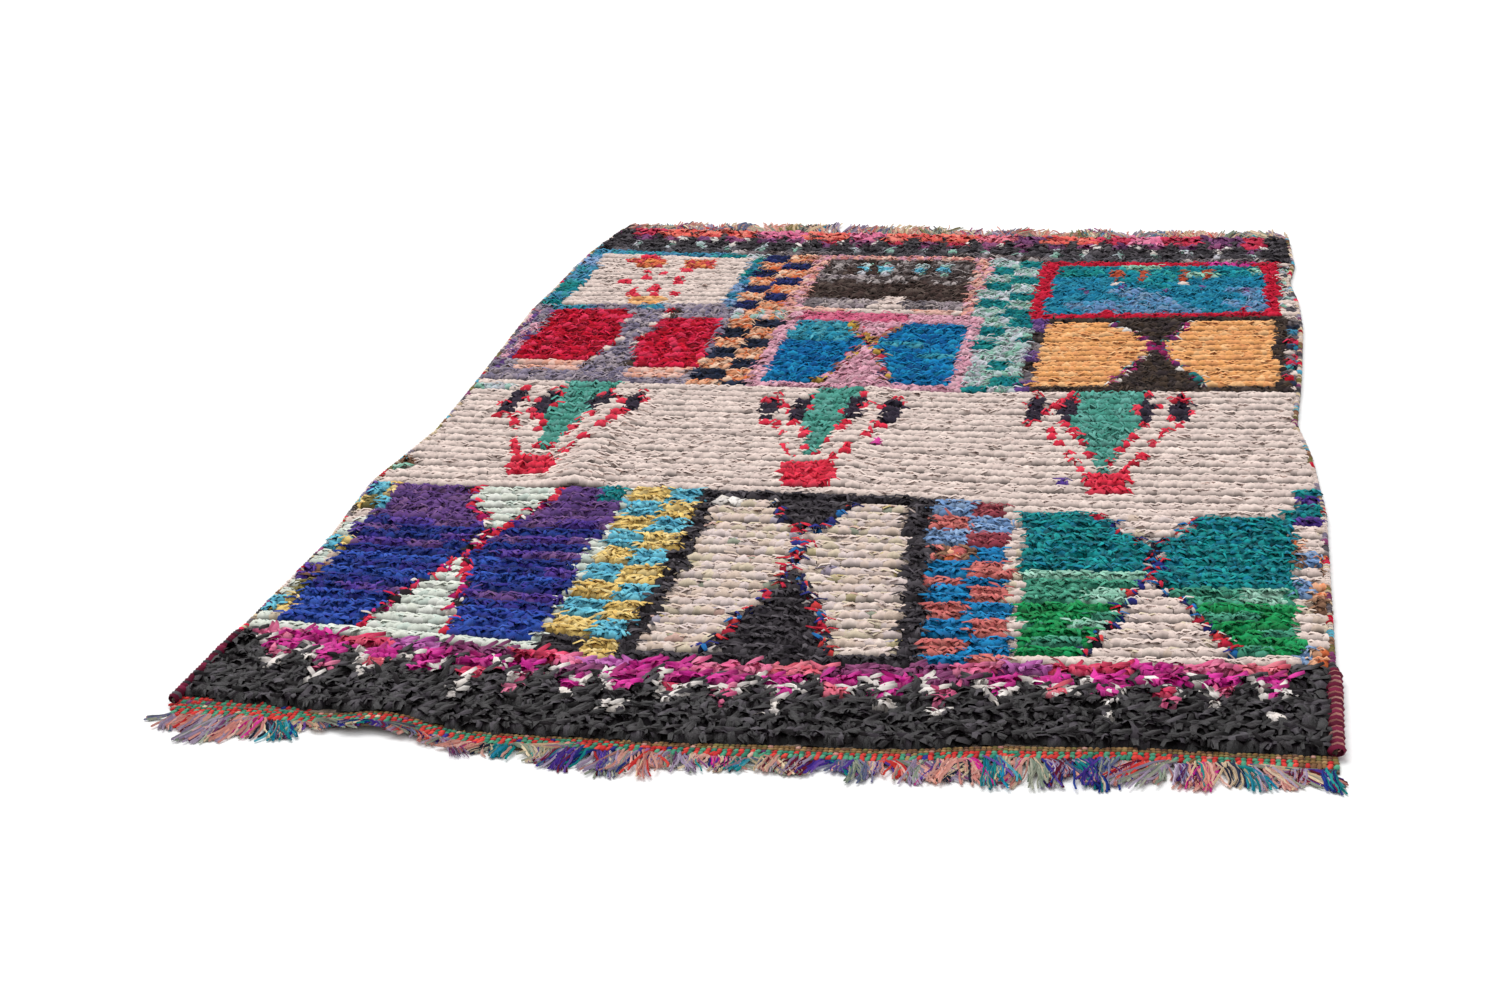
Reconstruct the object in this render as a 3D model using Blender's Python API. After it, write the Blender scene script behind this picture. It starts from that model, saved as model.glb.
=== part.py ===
"""A boucherouite rug lying flat on the floor.

One woven pile field, a flat twined band across each end, an overcast cord down
each side, and a fringe of warp bundles beyond each band. Every piece follows the
same uneven outline and the same low ridges, left where the rug was once folded.

Metres, +Z up. The rug lies on z = 0 with its long side along Y, its near end at
-Y, and the middle of its outline over the origin.
"""

from collections import namedtuple
from math import exp, hypot, sin

import bmesh
import bpy
import numpy as np

# Driving sizes
PILE_TOP = 0.016          # floor to the top of the knotted pile
BAND_THICK = 0.005        # flat twined band
CORD_WIDTH = 0.010        # overcast cord down each side
FRINGE_THICK = 0.006      # a bundle of warp yarns lying on the floor
FRINGE_ROOT = 0.005       # depth of the strip that joins the bundles
GAP = 0.0004              # clearance between two pieces that touch
CORD_END_GAP = 0.001      # clearance between a side cord's end and the band

# How finely the sheets are divided
COLUMNS = 30
ROWS = 32

# Fringe bundles across an end, and how a bundle tapers
BUNDLES = 44
ROOT_SHARE = 0.84         # of the pitch, at the root
TIP_SHARE = 0.34          # of the pitch, at the tip
TIP_SLANT = 0.04          # of its length, how unevenly a bundle is cut
TIP_MARGIN = 0.20         # of the pitch, how near a tip may come to the rug's corner
LENGTH_SWAY = 0.18        # how much shorter than its neighbours a bundle may be
LEAN_SWAY = 0.16          # of the pitch, how far a tip may stray to one side

# The bundles at the near left corner are raked over to the left
RAKE_FROM = -0.42         # x where the rake starts
RAKE_FULL = -0.68         # x where it is full
RAKE = 0.7                # sideways, in bundle lengths

# A ridge's fall: it reaches the floor at this many half widths
RIDGE_FOOT = 2.0
RIDGE_FALL = 2.0

# The outline down the two sides, cord included
Side = namedtuple("Side", "y left right")
SIDES = (
    Side(-1.41, -0.668, 0.670),
    Side(-1.33, -0.675, 0.676),
    Side(-1.03, -0.671, 0.682),
    Side(-0.72, -0.667, 0.685),
    Side(-0.44, -0.685, 0.688),
    Side(-0.16, -0.663, 0.675),
    Side(0.01, -0.667, 0.657),
    Side(0.27, -0.678, 0.669),
    Side(0.63, -0.695, 0.679),
    Side(0.82, -0.692, 0.675),
    Side(0.97, -0.692, 0.662),
    Side(1.12, -0.690, 0.674),
    Side(1.44, -0.662, 0.664),
)

# The near end: where the pile stops, where the band stops, where the fringe stops
End = namedtuple("End", "x pile band tips")
NEAR_END = (
    End(-0.70, -1.316, -1.352, -1.400),
    End(-0.60, -1.324, -1.360, -1.426),
    End(-0.52, -1.328, -1.364, -1.432),
    End(-0.46, -1.332, -1.368, -1.400),
    End(-0.38, -1.340, -1.376, -1.398),
    End(-0.30, -1.366, -1.406, -1.424),
    End(-0.20, -1.373, -1.412, -1.448),
    End(-0.11, -1.374, -1.413, -1.472),
    End(-0.03, -1.374, -1.414, -1.442),
    End(0.08, -1.373, -1.413, -1.448),
    End(0.20, -1.368, -1.406, -1.458),
    End(0.31, -1.345, -1.385, -1.450),
    End(0.45, -1.335, -1.376, -1.440),
    End(0.58, -1.336, -1.378, -1.434),
    End(0.70, -1.338, -1.380, -1.420),
)
FAR_END = (
    End(-0.70, 1.344, 1.366, 1.452),
    End(-0.50, 1.340, 1.362, 1.462),
    End(-0.32, 1.336, 1.358, 1.472),
    End(-0.10, 1.326, 1.348, 1.452),
    End(0.10, 1.322, 1.344, 1.440),
    End(0.30, 1.326, 1.348, 1.444),
    End(0.50, 1.334, 1.356, 1.452),
    End(0.70, 1.340, 1.362, 1.456),
)

# Low ridges that lift the cloth off the floor, from one end of the crest to the other
Ridge = namedtuple("Ridge", "x0 y0 x1 y1 half_width height")
RIDGES = (
    Ridge(-0.405, 0.02, -0.385, -0.40, 0.050, 0.011),
    Ridge(-0.030, 0.40, -0.005, -0.38, 0.045, 0.006),
    Ridge(-0.425, -1.50, -0.405, -1.30, 0.060, 0.008),
)

# Colours and finish, one row for each material
Finish = namedtuple("Finish", "name colour roughness")
PILE_FINISH = Finish("rag_pile", (0.55, 0.48, 0.45), 0.9)
BAND_FINISH = Finish("twined_band", (0.38, 0.22, 0.16), 0.9)
CORD_FINISH = Finish("overcast_cord", (0.27, 0.08, 0.12), 0.85)
FRINGE_FINISH = Finish("warp_fringe", (0.42, 0.36, 0.42), 0.9)


def between(table, column, key, at):
    """A column of a table at a place between its rows."""
    keys = [getattr(row, key) for row in table]
    values = [getattr(row, column) for row in table]
    return float(np.interp(at, keys, values))


def left_edge(y):
    return between(SIDES, "left", "y", y)


def right_edge(y):
    return between(SIDES, "right", "y", y)


def lift(x, y):
    """How far the cloth stands off the floor, the same for every piece."""
    height = 0.0
    for ridge in RIDGES:
        run_x, run_y = ridge.x1 - ridge.x0, ridge.y1 - ridge.y0
        length = hypot(run_x, run_y)
        along = ((x - ridge.x0) * run_x + (y - ridge.y0) * run_y) / length
        beyond = max(-along, along - length, 0.0)
        across = ((x - ridge.x0) * run_y - (y - ridge.y0) * run_x) / length
        away = hypot(across, beyond)
        if away < RIDGE_FOOT * ridge.half_width:
            foot = exp(-RIDGE_FALL * RIDGE_FOOT ** 2)
            fall = exp(-RIDGE_FALL * (away / ridge.half_width) ** 2) - foot
            height = max(height, ridge.height * fall)
    return height


def field_side(share):
    """The pile's two side edges at a share of its length, near end to far end."""
    middle = (1.0 - share) * NEAR_END[0].pile + share * FAR_END[0].pile
    left = left_edge(middle) + CORD_WIDTH + GAP
    right = right_edge(middle) - CORD_WIDTH - GAP
    return left, right


def field_point(across, share):
    """A point of the pile field, across from left to right and along near to far."""
    left, right = field_side(share)
    x = (1.0 - across) * left + across * right
    near = between(NEAR_END, "pile", "x", x)
    far = between(FAR_END, "pile", "x", x)
    return x, (1.0 - share) * near + share * far


def end_span(end):
    """The x of the band's two corners at one end of the rug."""
    y = 0.5 * (end[0].pile + end[0].band)
    return left_edge(y), right_edge(y)


def end_columns(end):
    """The x of each grid line at an end: the pile's own, but out to the band's corners."""
    share = 0.0 if end is NEAR_END else 1.0
    columns = [field_point(number / COLUMNS, share)[0] for number in range(COLUMNS + 1)]
    columns[0], columns[-1] = end_span(end)
    return columns


def material(finish):
    made = bpy.data.materials.new(finish.name)
    made.use_nodes = True
    shader = made.node_tree.nodes["Principled BSDF"]
    shader.inputs["Base Color"].default_value = (*finish.colour, 1.0)
    shader.inputs["Roughness"].default_value = finish.roughness
    shader.inputs["Metallic"].default_value = 0.0
    return made


def sheet(name, columns, rows, place, thickness, finish):
    """A cloth sheet: a grid laid out by place(across, along), then extruded straight up.

    The walls stay upright on the ridges, so two sheets that meet keep their gap.
    """
    bpy.ops.mesh.primitive_grid_add(x_subdivisions=columns, y_subdivisions=rows, size=1.0)
    piece = bpy.context.object
    piece.name = piece.data.name = name
    shape = bmesh.new()
    shape.from_mesh(piece.data)
    for vertex in shape.verts:
        x, y = place(vertex.co.x + 0.5, vertex.co.y + 0.5)
        vertex.co = (x, y, lift(x, y))
    raised = bmesh.ops.extrude_face_region(shape, geom=shape.faces[:])["geom"]
    top = [part for part in raised if isinstance(part, bmesh.types.BMVert)]
    bmesh.ops.translate(shape, verts=top, vec=(0.0, 0.0, thickness))
    bmesh.ops.recalc_face_normals(shape, faces=shape.faces)
    shape.to_mesh(piece.data)
    shape.free()
    piece.data.materials.append(material(finish))
    return into_rug(piece)


def into_rug(piece):
    for holder in list(piece.users_collection):
        holder.objects.unlink(piece)
    rug.objects.link(piece)
    return piece


def pile_field():
    return sheet("rug_field", COLUMNS, ROWS, field_point, PILE_TOP, PILE_FINISH)


def end_band(name, end):
    """The flat twined strip between the last row of pile and the fringe."""
    outward = 1.0 if end is FAR_END else -1.0
    columns = end_columns(end)

    def place(across, along):
        x = columns[round(across * COLUMNS)]
        inner = between(end, "pile", "x", x) + outward * GAP
        outer = between(end, "band", "x", x)
        # The grid's rows run toward +Y, so the near band starts from its outer edge
        depth = along if outward > 0.0 else 1.0 - along
        return x, (1.0 - depth) * inner + depth * outer

    return sheet(name, COLUMNS, 1, place, BAND_THICK, BAND_FINISH)


def side_cord(name, side):
    """The overcast cord down one side: a round cord from the near band to the far one."""
    curve = bpy.data.curves.new(name, "CURVE")
    curve.dimensions = "3D"
    curve.bevel_depth = CORD_WIDTH / 2.0
    curve.bevel_resolution = 2
    curve.use_fill_caps = True
    spline = curve.splines.new("POLY")
    spline.points.add(ROWS)
    end_shift = {0: CORD_END_GAP, ROWS: -CORD_END_GAP}
    for number, point in enumerate(spline.points):
        x_field, y = field_point(0.0 if side < 0 else 1.0, number / ROWS)
        x = x_field + side * (GAP + CORD_WIDTH / 2.0)
        y += end_shift.get(number, 0.0)
        point.co = (x, y, lift(x, y) + CORD_WIDTH / 2.0, 1.0)
    piece = bpy.data.objects.new(name, curve)
    piece.data.materials.append(material(CORD_FINISH))
    rug.objects.link(piece)
    return piece


def sway(number, rate):
    """A steady, uneven value between -1 and 1, different for each bundle."""
    second_rate, second_phase = 0.73 * rate, 1.3
    return sin(number * rate) * sin(number * second_rate + second_phase)


def bundle_rake(x, near):
    """How far a bundle's tip lies to the side of its root, in lengths."""
    if not near:
        return 0.0
    return -RAKE * float(np.interp(x, (RAKE_FULL, RAKE_FROM), (1.0, 0.0)))


def fringe_outline(end):
    """The comb's outline: along the band, then back round every bundle."""
    near = end is NEAR_END
    outward = -1.0 if near else 1.0
    left, right = end_span(end)
    pitch = (right - left) / BUNDLES

    def band_edge(x):
        return between(end, "band", "x", x) + outward * GAP

    def root_edge(x):
        return band_edge(x) + outward * FRINGE_ROOT

    points = [(x, band_edge(x)) for x in end_columns(end)]
    for number in reversed(range(BUNDLES)):
        middle = left + (number + 0.5) * pitch
        root = root_edge(middle)
        tip = between(end, "tips", "x", middle)
        reach = (tip - root) * (1.0 - LENGTH_SWAY * abs(sway(number, 2.1)))
        lean = abs(reach) * bundle_rake(middle, near) + LEAN_SWAY * pitch * sway(number, 3.7)
        margin = TIP_MARGIN * pitch
        end_x = min(max(middle + lean, left + margin), right - margin)
        half_root = 0.5 * ROOT_SHARE * pitch
        half_tip = 0.5 * TIP_SHARE * pitch
        points.append((middle + half_root, root_edge(middle + half_root)))
        points.append((end_x + half_tip, root + reach))
        points.append((end_x - half_tip, root + reach * (1.0 - TIP_SLANT)))
        points.append((middle - half_root, root_edge(middle - half_root)))
    return points


def fringe(name, end):
    """One comb of warp bundles along an end, flat on the floor."""
    curve = bpy.data.curves.new(name, "CURVE")
    curve.dimensions = "2D"
    curve.fill_mode = "BOTH"
    curve.extrude = FRINGE_THICK / 2.0
    outline = fringe_outline(end)
    spline = curve.splines.new("POLY")
    spline.points.add(len(outline) - 1)
    for point, (x, y) in zip(spline.points, outline):
        point.co = (x, y, 0.0, 1.0)
    spline.use_cyclic_u = True
    flat = bpy.data.objects.new(name + "_outline", curve)
    bpy.context.scene.collection.objects.link(flat)
    bpy.context.view_layer.update()
    graph = bpy.context.evaluated_depsgraph_get()
    mesh = bpy.data.meshes.new_from_object(flat.evaluated_get(graph))
    bpy.data.objects.remove(flat)
    shape = bmesh.new()
    shape.from_mesh(mesh)
    bmesh.ops.remove_doubles(shape, verts=shape.verts, dist=0.00001)
    for vertex in shape.verts:
        vertex.co.z += FRINGE_THICK / 2.0 + lift(vertex.co.x, vertex.co.y)
    bmesh.ops.recalc_face_normals(shape, faces=shape.faces)
    shape.to_mesh(mesh)
    shape.free()
    mesh.name = name
    piece = bpy.data.objects.new(name, mesh)
    piece.data.materials.clear()
    piece.data.materials.append(material(FRINGE_FINISH))
    rug.objects.link(piece)
    return piece


for old in list(bpy.data.objects):
    bpy.data.objects.remove(old)

rug = bpy.data.collections.new("Boucherouite Rug")
bpy.context.scene.collection.children.link(rug)

pile_field()
end_band("end_band_near", NEAR_END)
end_band("end_band_far", FAR_END)
side_cord("side_cord_left", -1)
side_cord("side_cord_right", 1)
fringe("fringe_near", NEAR_END)
fringe("fringe_far", FAR_END)
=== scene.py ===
# %% [markdown]
# # A boucherouite rug
#
# This rug is knotted from torn rags. Short ends of old cloth are tied in rows on a
# thin woven ground, so its surface is a thick coat of overlapping scraps. Down both
# sides runs an overcast cord, and each end has a flat twined band and a fringe.
#
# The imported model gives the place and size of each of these. It is loaded first,
# and everything below is laid on it in metres.

# %% Load the frame
from collections import namedtuple
from math import asin, atan2, cos, degrees, pi, radians, sin

import bmesh
import bpy
import numpy as np
from mathutils import Matrix, Vector


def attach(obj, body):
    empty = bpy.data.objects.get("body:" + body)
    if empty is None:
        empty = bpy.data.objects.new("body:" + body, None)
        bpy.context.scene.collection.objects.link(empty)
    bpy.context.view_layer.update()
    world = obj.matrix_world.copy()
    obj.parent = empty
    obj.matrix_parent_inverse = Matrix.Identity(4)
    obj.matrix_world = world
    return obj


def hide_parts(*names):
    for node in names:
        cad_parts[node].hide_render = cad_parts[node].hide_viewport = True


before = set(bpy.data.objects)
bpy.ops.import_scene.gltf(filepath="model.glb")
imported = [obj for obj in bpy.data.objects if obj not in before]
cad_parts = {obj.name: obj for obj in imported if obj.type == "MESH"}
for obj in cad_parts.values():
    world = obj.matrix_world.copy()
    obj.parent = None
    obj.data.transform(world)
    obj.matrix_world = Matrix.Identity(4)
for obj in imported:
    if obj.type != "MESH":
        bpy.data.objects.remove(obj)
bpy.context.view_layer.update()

# %% [markdown]
# ## The outline
#
# A hand-woven rug is never square. Its sides swell and draw in from row to row, its
# ends wander, and the cloth still stands up in low ridges where it was once folded.
# A few measured stations down each side and along each end are enough, with straight
# lines between them. These are the same stations as the construction has, so the
# pile, the bands, the cords and the fringes all meet where they should.

# %% Stations of the outline
Side = namedtuple("Side", "y left right")
SIDES = (
    Side(-1.41, -0.668, 0.670),
    Side(-1.33, -0.675, 0.676),
    Side(-1.03, -0.671, 0.682),
    Side(-0.72, -0.667, 0.685),
    Side(-0.44, -0.685, 0.688),
    Side(-0.16, -0.663, 0.675),
    Side(0.01, -0.667, 0.657),
    Side(0.27, -0.678, 0.669),
    Side(0.63, -0.695, 0.679),
    Side(0.82, -0.692, 0.675),
    Side(0.97, -0.692, 0.662),
    Side(1.12, -0.690, 0.674),
    Side(1.44, -0.662, 0.664),
)
End = namedtuple("End", "x pile band tips")
NEAR_END = (
    End(-0.70, -1.316, -1.352, -1.400),
    End(-0.60, -1.324, -1.360, -1.426),
    End(-0.52, -1.328, -1.364, -1.432),
    End(-0.46, -1.332, -1.368, -1.400),
    End(-0.38, -1.340, -1.376, -1.398),
    End(-0.30, -1.366, -1.406, -1.424),
    End(-0.20, -1.373, -1.412, -1.448),
    End(-0.11, -1.374, -1.413, -1.472),
    End(-0.03, -1.374, -1.414, -1.442),
    End(0.08, -1.373, -1.413, -1.448),
    End(0.20, -1.368, -1.406, -1.458),
    End(0.31, -1.345, -1.385, -1.450),
    End(0.45, -1.335, -1.376, -1.440),
    End(0.58, -1.336, -1.378, -1.434),
    End(0.70, -1.338, -1.380, -1.420),
)
FAR_END = (
    End(-0.70, 1.344, 1.366, 1.452),
    End(-0.50, 1.340, 1.362, 1.462),
    End(-0.32, 1.336, 1.358, 1.472),
    End(-0.10, 1.326, 1.348, 1.452),
    End(0.10, 1.322, 1.344, 1.440),
    End(0.30, 1.326, 1.348, 1.444),
    End(0.50, 1.334, 1.356, 1.452),
    End(0.70, 1.340, 1.362, 1.456),
)
Ridge = namedtuple("Ridge", "x0 y0 x1 y1 half_width height")
RIDGES = (
    Ridge(-0.405, 0.02, -0.385, -0.40, 0.050, 0.011),
    Ridge(-0.030, 0.40, -0.005, -0.38, 0.045, 0.006),
    Ridge(-0.425, -1.50, -0.405, -1.30, 0.060, 0.008),
)
CORD_WIDTH = 0.010
GAP = 0.0004
RIDGE_FOOT = 2.0
RIDGE_FALL = 2.0


def between(table, column, key, at):
    """A column of a table, read between its rows; at is one place or many."""
    keys = [getattr(row, key) for row in table]
    values = [getattr(row, column) for row in table]
    return np.interp(at, keys, values)


def left_edge(y):
    return between(SIDES, "left", "y", y) + CORD_WIDTH + GAP


def right_edge(y):
    return between(SIDES, "right", "y", y) - CORD_WIDTH - GAP


def lift(x, y):
    """How far the cloth stands off the floor on its ridges."""
    x, y = np.asarray(x, float), np.asarray(y, float)
    height = np.zeros(np.broadcast(x, y).shape)
    foot = np.exp(-RIDGE_FALL * RIDGE_FOOT ** 2)
    for ridge in RIDGES:
        run_x, run_y = ridge.x1 - ridge.x0, ridge.y1 - ridge.y0
        length = np.hypot(run_x, run_y)
        along = ((x - ridge.x0) * run_x + (y - ridge.y0) * run_y) / length
        beyond = np.maximum(np.maximum(-along, along - length), 0.0)
        across = ((x - ridge.x0) * run_y - (y - ridge.y0) * run_x) / length
        away = np.hypot(across, beyond) / ridge.half_width
        fall = np.exp(-RIDGE_FALL * away ** 2) - foot
        height = np.maximum(height, np.where(away < RIDGE_FOOT, ridge.height * fall, 0.0))
    return height


print("the field is", round(float(right_edge(0.0) - left_edge(0.0)), 3), "m wide at its middle")

# %% [markdown]
# ## The camera
#
# The picture was taken from beyond the near end, low and a little to the right, with
# a lens of 70 mm. The rug's four corners and its bands fix the place and the turn of
# the camera. A camera looks along its own -Z, so its three axes are worked out from
# the direction of view and the small roll, and they become its matrix.

# %% Set the camera
CAMERA_PLACE = Vector((0.528, -4.378, 1.234))
CAMERA_LENS = 70.0
CAMERA_DOWN = radians(17.21)
CAMERA_TURN = radians(-9.38)
CAMERA_ROLL = radians(-1.11)

level = cos(CAMERA_DOWN)
forward = Vector((sin(CAMERA_TURN) * level, cos(CAMERA_TURN) * level, -sin(CAMERA_DOWN)))
level_right = forward.cross(Vector((0.0, 0.0, 1.0))).normalized()
roll = asin(sin(CAMERA_ROLL) / cos(CAMERA_DOWN))
right = (Matrix.Rotation(-roll, 3, forward) @ level_right).normalized()
up = right.cross(forward)
camera_data = bpy.data.cameras.new("camera")
camera_data.lens = CAMERA_LENS
camera_data.sensor_width = 36.0
camera_data.clip_end = 60.0
camera = bpy.data.objects.new("camera", camera_data)
bpy.context.scene.collection.objects.link(camera)
axes = Matrix((right, up, -forward)).transposed()
camera.matrix_world = Matrix.Translation(CAMERA_PLACE) @ axes.to_4x4()
bpy.context.scene.camera = camera
print("the camera's right axis falls by", round(degrees(asin(right.z)), 2), "degrees")

# %% [markdown]
# ## Shader helpers
#
# Every cloth of the rug shares two effects. Its dye is never even: it has faded in
# patches. And it has a grain, the fine crossing threads of the stuff. Each effect is
# built once as a node group and placed in the materials with its own values. The
# groups give out only colours and heights. The shader itself stays in each material,
# with its constant values on its sockets. Where the scraps are tucked in, the
# materials darken them further as painted shade.

# %% Node groups
def deselect():
    for other in bpy.context.selected_objects:
        other.select_set(False)


def new_group(name, inputs, outputs):
    tree = bpy.data.node_groups.new(name, "ShaderNodeTree")
    for label, kind, value in inputs:
        socket = tree.interface.new_socket(name=label, in_out="INPUT", socket_type=kind)
        socket.default_value = value
    for label, kind in outputs:
        tree.interface.new_socket(name=label, in_out="OUTPUT", socket_type=kind)
    return tree, tree.nodes.new("NodeGroupInput"), tree.nodes.new("NodeGroupOutput")


def math_node(tree, operation, first, second):
    """A Math node; each operand is a socket or a number."""
    node = tree.nodes.new("ShaderNodeMath")
    node.operation = operation
    for place, operand in enumerate((first, second)):
        if isinstance(operand, (int, float)):
            node.inputs[place].default_value = operand
        else:
            tree.links.new(operand, node.inputs[place])
    return node.outputs["Value"]


def noise(tree, vector, scale, detail=2.0, roughness=0.5):
    node = tree.nodes.new("ShaderNodeTexNoise")
    node.inputs["Detail"].default_value = detail
    node.inputs["Roughness"].default_value = roughness
    tree.links.new(vector, node.inputs["Vector"])
    if isinstance(scale, (int, float)):
        node.inputs["Scale"].default_value = scale
    else:
        tree.links.new(scale, node.inputs["Scale"])
    return node.outputs["Fac"]


def faded_dye():
    """Faded dye: patches of lighter and darker cloth, and flecks of lint."""
    inputs = (("Colour", "NodeSocketColor", (0.5, 0.5, 0.5, 1.0)), ("Fading", "NodeSocketFloat", 0.25),
              ("Patch Scale", "NodeSocketFloat", 60.0))
    tree, given, out = new_group("faded_dye", inputs, (("Colour", "NodeSocketColor"),))
    place = tree.nodes.new("ShaderNodeTexCoord").outputs["Object"]
    patches = noise(tree, place, given.outputs["Patch Scale"], 3.0, 0.6)
    swing = math_node(tree, "MULTIPLY", math_node(tree, "SUBTRACT", patches, 0.5), given.outputs["Fading"])
    value = math_node(tree, "ADD", math_node(tree, "MULTIPLY", swing, 2.0), 1.0)
    tint = tree.nodes.new("ShaderNodeHueSaturation")
    tree.links.new(given.outputs["Colour"], tint.inputs["Color"])
    tree.links.new(value, tint.inputs["Value"])
    tree.links.new(tint.outputs["Color"], out.inputs["Colour"])
    return tree


def thread_grain():
    """Thread grain: the height of fine crossing threads, broken by loose fibres."""
    inputs = (("Threads", "NodeSocketFloat", 900.0), ("Fuzz", "NodeSocketFloat", 0.5))
    tree, given, out = new_group("thread_grain", inputs, (("Height", "NodeSocketFloat"),))
    place = tree.nodes.new("ShaderNodeTexCoord").outputs["Object"]
    apart = tree.nodes.new("ShaderNodeSeparateXYZ")
    tree.links.new(place, apart.inputs["Vector"])
    count = given.outputs["Threads"]
    warp, weft = (
        math_node(tree, "SINE", math_node(tree, "MULTIPLY", apart.outputs[axis], count), 0.0)
        for axis in "XY")
    weave = math_node(tree, "MULTIPLY", warp, weft)
    fibres = noise(tree, place, 1400.0, 2.0, 0.7)
    loose = math_node(tree, "MULTIPLY", fibres, given.outputs["Fuzz"])
    height = math_node(tree, "ADD", math_node(tree, "MULTIPLY", weave, 0.25), loose)
    tree.links.new(height, out.inputs["Height"])
    return tree


FADED_DYE = faded_dye()
THREAD_GRAIN = thread_grain()
print("node groups:", FADED_DYE.name, "and", THREAD_GRAIN.name)

# %% [markdown]
# ## Cloth materials
#
# A scrap's colour is painted on it as an attribute, because the pattern is in the
# knots and not in the stuff. In the pile that attribute also holds painted shade,
# darker the nearer a point lies to the ground. One recipe then serves every scrap.
# Cotton is matt and a torn satin lining shines, so a second attribute holds the gloss
# of each scrap. The soft folds run along a scrap, so they read its own UV map, and the
# grain reads the object's coordinates. The low parts of the folds are also painted
# darker, as painted shade. The recipe is made up three times: for the bows of the
# knots, with painted shade toward root and tip where their neighbours hide them, for
# the loose ends, with a lighter painted shade at root and tip, and for yarn, with a
# twist in place of the folds and a little painted shade at the root.

# %% Materials of the cloth and the yarn
def cloth_material(name, folds, fold_depth, threads, fading, root_shade, tip_shade):
    made = bpy.data.materials.new(name)
    made.use_nodes = True
    tree = made.node_tree
    shader = tree.nodes["Principled BSDF"]
    dye = tree.nodes.new("ShaderNodeAttribute")
    dye.attribute_name = "dye"
    wear = tree.nodes.new("ShaderNodeGroup")
    wear.node_tree = FADED_DYE
    wear.inputs["Fading"].default_value = fading
    wear.inputs["Patch Scale"].default_value = 70.0
    tree.links.new(dye.outputs["Color"], wear.inputs["Colour"])

    strip = tree.nodes.new("ShaderNodeUVMap")
    strip.uv_map = "strip"
    stretch = tree.nodes.new("ShaderNodeVectorMath")
    stretch.operation = "MULTIPLY"
    stretch.inputs[1].default_value = folds
    tree.links.new(strip.outputs["UV"], stretch.inputs[0])
    crease = noise(tree, stretch.outputs["Vector"], 1.0, 3.0, 0.55)
    ends = tree.nodes.new("ShaderNodeSeparateXYZ")
    tree.links.new(strip.outputs["UV"], ends.inputs["Vector"])
    # Painted shade: the colour is darkened toward the root and the tip of a strip, where neighbours would
    # hide it from the light.
    along = math_node(tree, "FRACT", ends.outputs["Y"], 0.0)
    painted_root_shade = tree.nodes.new("ShaderNodeMapRange")
    painted_root_shade.inputs["From Max"].default_value = 0.5
    painted_root_shade.inputs["To Min"].default_value = root_shade
    tree.links.new(along, painted_root_shade.inputs["Value"])
    painted_tip_shade = tree.nodes.new("ShaderNodeMapRange")
    painted_tip_shade.inputs["From Min"].default_value = 0.72
    painted_tip_shade.inputs["To Min"].default_value = 1.0
    painted_tip_shade.inputs["To Max"].default_value = tip_shade
    tree.links.new(along, painted_tip_shade.inputs["Value"])
    painted_tuck_shade = math_node(tree, "MULTIPLY", painted_root_shade.outputs["Result"], painted_tip_shade.outputs["Result"])
    # Painted shade: the low parts of the folds, the same noise as the bump, are painted darker.
    streak = math_node(tree, "ADD", math_node(tree, "MULTIPLY", crease, 0.6), 0.72)
    value = math_node(tree, "MULTIPLY", painted_tuck_shade, streak)
    shade = tree.nodes.new("ShaderNodeHueSaturation")
    tree.links.new(wear.outputs["Colour"], shade.inputs["Color"])
    tree.links.new(value, shade.inputs["Value"])
    tree.links.new(shade.outputs["Color"], shader.inputs["Base Color"])

    gloss = tree.nodes.new("ShaderNodeAttribute")
    gloss.attribute_name = "gloss"
    matt = math_node(tree, "SUBTRACT", 0.95, gloss.outputs["Fac"])
    uneven = math_node(tree, "MULTIPLY", math_node(tree, "SUBTRACT", crease, 0.5), 0.25)
    tree.links.new(math_node(tree, "ADD", matt, uneven), shader.inputs["Roughness"])
    shine = math_node(tree, "MULTIPLY", gloss.outputs["Fac"], 0.5)
    tree.links.new(shine, shader.inputs["Specular IOR Level"])

    grain = tree.nodes.new("ShaderNodeGroup")
    grain.node_tree = THREAD_GRAIN
    grain.inputs["Threads"].default_value = threads
    bump = tree.nodes.new("ShaderNodeBump")
    bump.inputs["Strength"].default_value = 0.8
    bump.inputs["Distance"].default_value = fold_depth
    height = math_node(tree, "ADD", crease, math_node(tree, "MULTIPLY", grain.outputs["Height"], 0.12))
    tree.links.new(height, bump.inputs["Height"])
    tree.links.new(bump.outputs["Normal"], shader.inputs["Normal"])
    return made


# The last two numbers are the painted shade at the root and at the tip of a strip.
BOW = cloth_material("rag_bow", (5.0, 3.0, 1.0), 0.0030, 5200.0, 0.16, 0.50, 0.12)
RAG = cloth_material("rag_end", (4.0, 2.0, 1.0), 0.0016, 5200.0, 0.16, 0.75, 0.50)
YARN = cloth_material("yarn", (3.0, 9.0, 1.0), 0.0012, 4200.0, 0.20, 0.75, 1.0)
print("materials:", BOW.name, RAG.name, YARN.name)
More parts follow.
